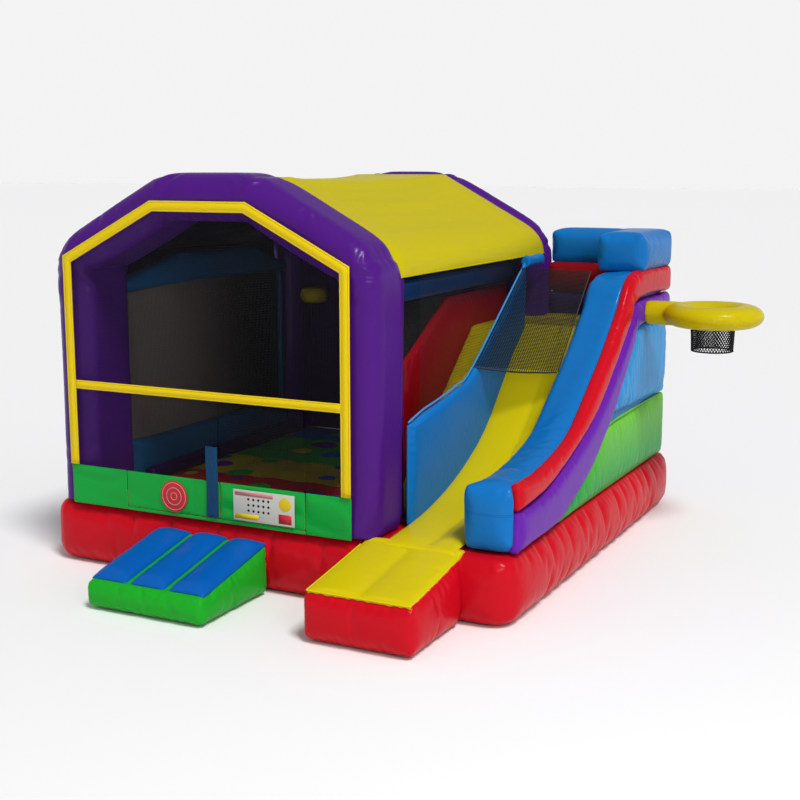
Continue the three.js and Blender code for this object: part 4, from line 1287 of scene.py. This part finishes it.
# ---- nets over the lanes ------------------------------------------------------------------------
def add_lane_nets():
    low, high = box("side_net")
    x = (low.x + high.x) / 2
    outline = [(0.858, 1.715), (1.20, 1.755), (1.70, 1.838), (2.08, 1.958), (3.40, 2.85),
               (3.48, high.z), (0.858, high.z)]
    side = net("side_lane_net", outline, lambda u, v, w: (x + w, u, v), 0.028, 0.0016)
    finish_piece(side, NET_BLACK, nodes=["side_net"], slot="black_net", levels=0)
    front = (Vector((3.46, 2.125, 1.955)), Vector((4.205, 2.594, 1.885)))
    rear = (Vector((3.46, 3.46, 2.885)), Vector((4.205, 3.60, 2.86)))
    width, run = 0.745, 1.55

    def lift(u, v, w):
        across_share, along_share = u / width, v / run
        start = front[0].lerp(front[1], across_share)
        end = rear[0].lerp(rear[1], across_share)
        sag = 0.05 * math.sin(math.pi * across_share) * math.sin(math.pi * min(along_share + 0.15, 1))
        place = start.lerp(end, along_share)
        return (place.x, place.y - 0.55 * w, place.z + 0.83 * w - sag)

    canopy = net("canopy_lane_net", rectangle(0, 0, width, run), lift, 0.020, 0.0046, sag=1)
    finish_piece(canopy, NET_BLACK, nodes=["canopy_net"], slot="black_net", levels=0)
    edges = (("canopy_front_strap", [lift(width * t, 0, 0) for t in np.linspace(0, 1, 24)], 0.011),
             ("canopy_left_strap", [lift(0, run * t, 0) for t in np.linspace(0, 1, 24)], 0.008),
             ("canopy_right_strap", [lift(width, run * t, 0) for t in np.linspace(0, 1, 24)], 0.008))
    for name, points, radius in edges:
        finish_piece(tube(name, points, radius, sides=8), WEBBING, slot="webbing")


# ---- hoops, sleeve, anchors ---------------------------------------------------------------------
HOOP = {"centre": (5.47, 3.95, 2.40), "ring": 0.350, "wide": 0.180, "high": 0.122}
SMALL_HOOP = {"centre": (0.388, 4.19, 2.382), "ring": 0.118, "wide": 0.062, "high": 0.095}


def torus(name, centre, ring, wide, high, steps=96, sides=32, ripple=0.0):
    vertices = []
    for i in range(steps):
        turn = 2 * math.pi * i / steps
        for k in range(sides):
            roll = 2 * math.pi * k / sides
            inner = max(0.0, -math.cos(roll))
            crease = 1 - ripple * inner * (0.5 + 0.5 * noise.noise(
                Vector((math.cos(turn) * 7, math.sin(turn) * 7, k * 0.15))))
            reach = ring + wide * math.cos(roll) * crease
            vertices.append((centre[0] + reach * math.cos(turn), centre[1] + reach * math.sin(turn),
                             centre[2] + high * math.sin(roll) * (1 - 0.25 * (1 - crease))))
    return with_outward_faces(make_object(name, vertices, ring_faces(steps, sides, closed=True)))


def funnel_net(name, centre, top_radius, foot_radius, drop, strands, rows, cord):
    """A tapered net bag of slanting strands below a hoop."""
    parts = []
    for direction in (-1, 1):
        for i in range(strands):
            points = []
            for k in range(rows * 2 + 1):
                t = k / (rows * 2)
                radius = top_radius + (foot_radius - top_radius) * (t ** 0.6)
                turn = 2 * math.pi * i / strands + direction * t * 0.9
                points.append((centre[0] + radius * math.cos(turn), centre[1] + radius * math.sin(turn),
                               centre[2] - drop * t))
            parts.append(tube(f"strand_{direction}_{i}", points, cord, sides=5))
    ring = circle(lambda c, s: (centre[0] + foot_radius * c, centre[1] + foot_radius * s,
                                centre[2] - drop), 48)
    parts.append(tube("foot", ring, cord * 1.6, closed=True))
    return joined(name, parts)


def add_hoops():
    cx, cy, cz = HOOP["centre"]
    ring = torus("ring", HOOP["centre"], HOOP["ring"], HOOP["wide"], HOOP["high"], ripple=0.10)
    start = box("hoop")[0].x + 0.004
    arm_path = [(start, cy, cz), (start + 0.12, cy, cz + 0.002), (cx - HOOP["ring"] - 0.02, cy, cz),
                (cx - HOOP["ring"] + 0.06, cy, cz)]
    arm = tube("arm", smooth_path(arm_path, 0.03), HOOP["high"] * 1.08, sides=28)
    hoop = joined("hoop_ring", [ring, arm])
    chamber(hoop, 0.02, HOOP_YELLOW, "yellow_vinyl", ["hoop"], facing((-1, 0, 0), limit=0.95),
            dict(inset=0.006, smooth=4), pressure=6, slack=0.05, cap=0.008)
    net_low, net_high = box("hoop_net")
    net_top = net_high.z + 0.06
    bag = funnel_net("hoop_net_bag", (cx, cy, net_top), 0.235, 0.218, net_top - net_low.z - 0.05, 44, 6,
                     0.0055)
    finish_piece(bag, NET_BLACK, nodes=["hoop_net"], slot="black_net", levels=0)
    sx, sy, sz = SMALL_HOOP["centre"]
    small = torus("small", SMALL_HOOP["centre"], SMALL_HOOP["ring"], SMALL_HOOP["wide"],
                  SMALL_HOOP["high"], steps=64, sides=24, ripple=0.08)
    wall = box("rear_wall")[0].y
    stub = tube("stub", smooth_path([(sx, sy + 0.12, sz), (sx, sy + 0.16, sz), (sx, wall + 0.004, sz)],
                                    0.02), 0.060, sides=20)
    rim = joined("small_hoop_ring", [small, stub])
    remeshed(rim, 0.012, smooth=2)
    finish_piece(rim, HOOP_YELLOW, nodes=["small_hoop"], slot="yellow_vinyl")
    little = funnel_net("small_hoop_net", (sx, sy, sz - 0.05), 0.070, 0.052, 0.20, 12, 4, 0.003)
    finish_piece(little, NET_BLACK, slot="black_net", levels=0)


def add_sleeve():
    low, high = box("inflation_sleeve")
    cx, cz = (low.x + high.x) / 2, (low.z + high.z) / 2
    radius = (high.x - low.x) / 2 - 0.004
    steps, sides = 44, 64
    rings = [(i / steps, 0) for i in range(steps + 1)] + [(i / steps, 1) for i in range(steps, -1, -1)]
    vertices = []
    for t, layer in rings:
        for k in range(sides):
            turn = 2 * math.pi * k / sides
            folds = noise.noise(Vector((math.cos(turn) * 3.5, math.sin(turn) * 3.5, t * 3.0)))
            ripples = 0.35 * math.sin(t * 42) * math.exp(-((t - 0.15) / 0.2) ** 2)
            r = radius - 0.004 + 0.009 * folds * min(1, 6 * t) + 0.004 * ripples - 0.006 * layer
            vertices.append((cx + r * math.cos(turn), low.y + 0.001 + (high.y - low.y - 0.002) * t,
                             max(0.036, cz + r * math.sin(turn))))
    faces = ring_faces(len(rings), sides, closed=True)
    sleeve = with_outward_faces(make_object("inflation_sleeve_tube", vertices, faces))
    finish_piece(sleeve, RED_VINYL, body="sleeve", nodes=["inflation_sleeve"], slot="red_vinyl")
    strap_y = low.y + 0.40
    reach = radius + 0.004
    loop = circle(lambda c, s: (cx + reach * c, strap_y, cz + reach * s), 56)
    strap = tube("sleeve_tie_strap", loop, 0.006, sides=8, closed=True)
    finish_piece(strap, WEBBING, body="sleeve", slot="webbing")


def dress_anchors():
    for i in range(1, 5):
        for node, material in ((f"anchor_tab_{i}", WEBBING), (f"anchor_ring_{i}", STEEL)):
            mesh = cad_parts[node].data
            mesh.materials.clear()
            mesh.materials.append(material)


# ---- assembly -----------------------------------------------------------------------------------
PURPLE_VINYL = vinyl("purple_vinyl", PURPLE, wrinkle=0.10)
# The purple darkened to 45 %: painted shade for the rear wall, left skirting and tower wall inside the
# house.
SHADED_PURPLE_VINYL = vinyl("shaded_purple_vinyl", shade(PURPLE, 0.45)[:3], wrinkle=0.12)
BRIGHT_PURPLE_VINYL = vinyl("bright_purple_vinyl", (0.13, 0.014, 0.36), wrinkle=0.10)
# Near-black purple for the sheets that are painted shade under the roof.
PAINTED_SHADE_SHEET_VINYL = vinyl("painted_shade_sheet_vinyl", (0.012, 0.004, 0.03), wrinkle=0.15)
YELLOW_VINYL = vinyl("yellow_vinyl", YELLOW, wrinkle=0.12)
HOOP_YELLOW = vinyl("hoop_yellow_vinyl", (0.58, 0.47, 0.002), wrinkle=0.12)
# Yellow darkened to olive: painted shade on the climbing lane; also the darker seam line down the slide.
SHADE_AND_SEAM_YELLOW_VINYL = vinyl("shade_and_seam_yellow_vinyl", (0.40, 0.33, 0.006), wrinkle=0.12)
ROOF_VINYL = vinyl("roof_vinyl", (0.54, 0.455, 0.001), wrinkle=0.22, roughness=0.6,
                   stretch=(1, 0.18, 1))
TRIM_VINYL = vinyl("trim_vinyl", (0.80, 0.58, 0.006), wrinkle=0.05)
BLUE_VINYL = vinyl("blue_vinyl", BLUE, wrinkle=0.16)
# The blue darkened: painted shade for the left wall inside the house.
PAINTED_SHADE_BLUE_VINYL = vinyl("painted_shade_blue_vinyl", (0.010, 0.12, 0.30), wrinkle=0.12)
DEEP_BLUE_VINYL = vinyl("deep_blue_vinyl", (0.002, 0.105, 0.44), wrinkle=0.16)
# Dark navy copy of the blue: painted shade on the beam under the roof's right eave.
SHADED_BEAM_BLUE_VINYL = vinyl("shaded_beam_blue_vinyl", (0.006, 0.04, 0.14), wrinkle=0.12)
PUCKERED_BLUE = vinyl("puckered_blue_vinyl", (0.014, 0.27, 0.62), wrinkle=0.30, stretch=(1, 3, 0.6))
ZIP_VINYL = vinyl("zip_vinyl", (0.003, 0.05, 0.13), wrinkle=0.45, stretch=(3, 1, 0.6))
RED_VINYL = vinyl("red_vinyl", RED, wrinkle=0.14)
# The red darkened to about half: painted shade on the climbing wall and tower band under the roof.
SHADED_RED_VINYL = vinyl("shaded_red_vinyl", (0.26, 0.002, 0.006), wrinkle=0.12)
GREEN_VINYL = vinyl("green_vinyl", GREEN, wrinkle=0.16)
# Green with a painted light fade, lighter towards the top, on the side panel and its piping.
SIDE_GREEN_PAINTED_LIGHT = vinyl("side_green_painted_light_vinyl", GREEN, wrinkle=0.20, pattern=painted_top_light_green)
LIME_VINYL = vinyl("lime_vinyl", (0.012, 0.38, 0.02), wrinkle=0.16)
# Paler blue for the divider's piping: painted highlight on its edges.
HIGHLIGHT_PIPING_BLUE = vinyl("painted_highlight_piping", (0.05, 0.28, 0.60), wrinkle=0.05)
BADGE_RED = vinyl("badge_red", (0.55, 0.03, 0.04), wrinkle=0.05)
BADGE_PALE = vinyl("badge_pale", (0.70, 0.35, 0.30), wrinkle=0.05)
SIGN_WHITE = vinyl("sign_white", (0.55, 0.55, 0.50), wrinkle=0.05)
SIGN_YELLOW = vinyl("sign_yellow", (0.72, 0.52, 0.02), wrinkle=0.05)
PINK = vinyl("sign_pink", (0.55, 0.20, 0.20), wrinkle=0.05)
INK = vinyl("sign_ink", (0.02, 0.02, 0.02), wrinkle=0.05)
NET_BLACK = netting("black_netting", (0.004, 0.004, 0.005))
NET_GREY = netting("grey_netting", (0.15, 0.135, 0.12))
WEBBING = netting("webbing_weave", (0.02, 0.02, 0.022))
NICKEL = metal("nickel", (0.70, 0.69, 0.66), 0.22)
STEEL = metal("zinc_steel", (0.52, 0.53, 0.55), 0.32)

add_camera()
add_studio()
add_base()
add_floor()
add_exit_pad()
add_ramp()
add_arch("front", *FRONT_ARCH)
add_arch("rear", *REAR_ARCH)
add_roof()
add_window_frame()
add_front_screen()
add_doors()
add_left_wall()
add_rear_wall()
add_mid_wall()
add_climb_lane()
add_slide()
add_outer_wall()
add_side_panels()
add_tower()
add_lane_nets()
add_hoops()
add_sleeve()
dress_anchors()
run_inflation()
settle_pieces()
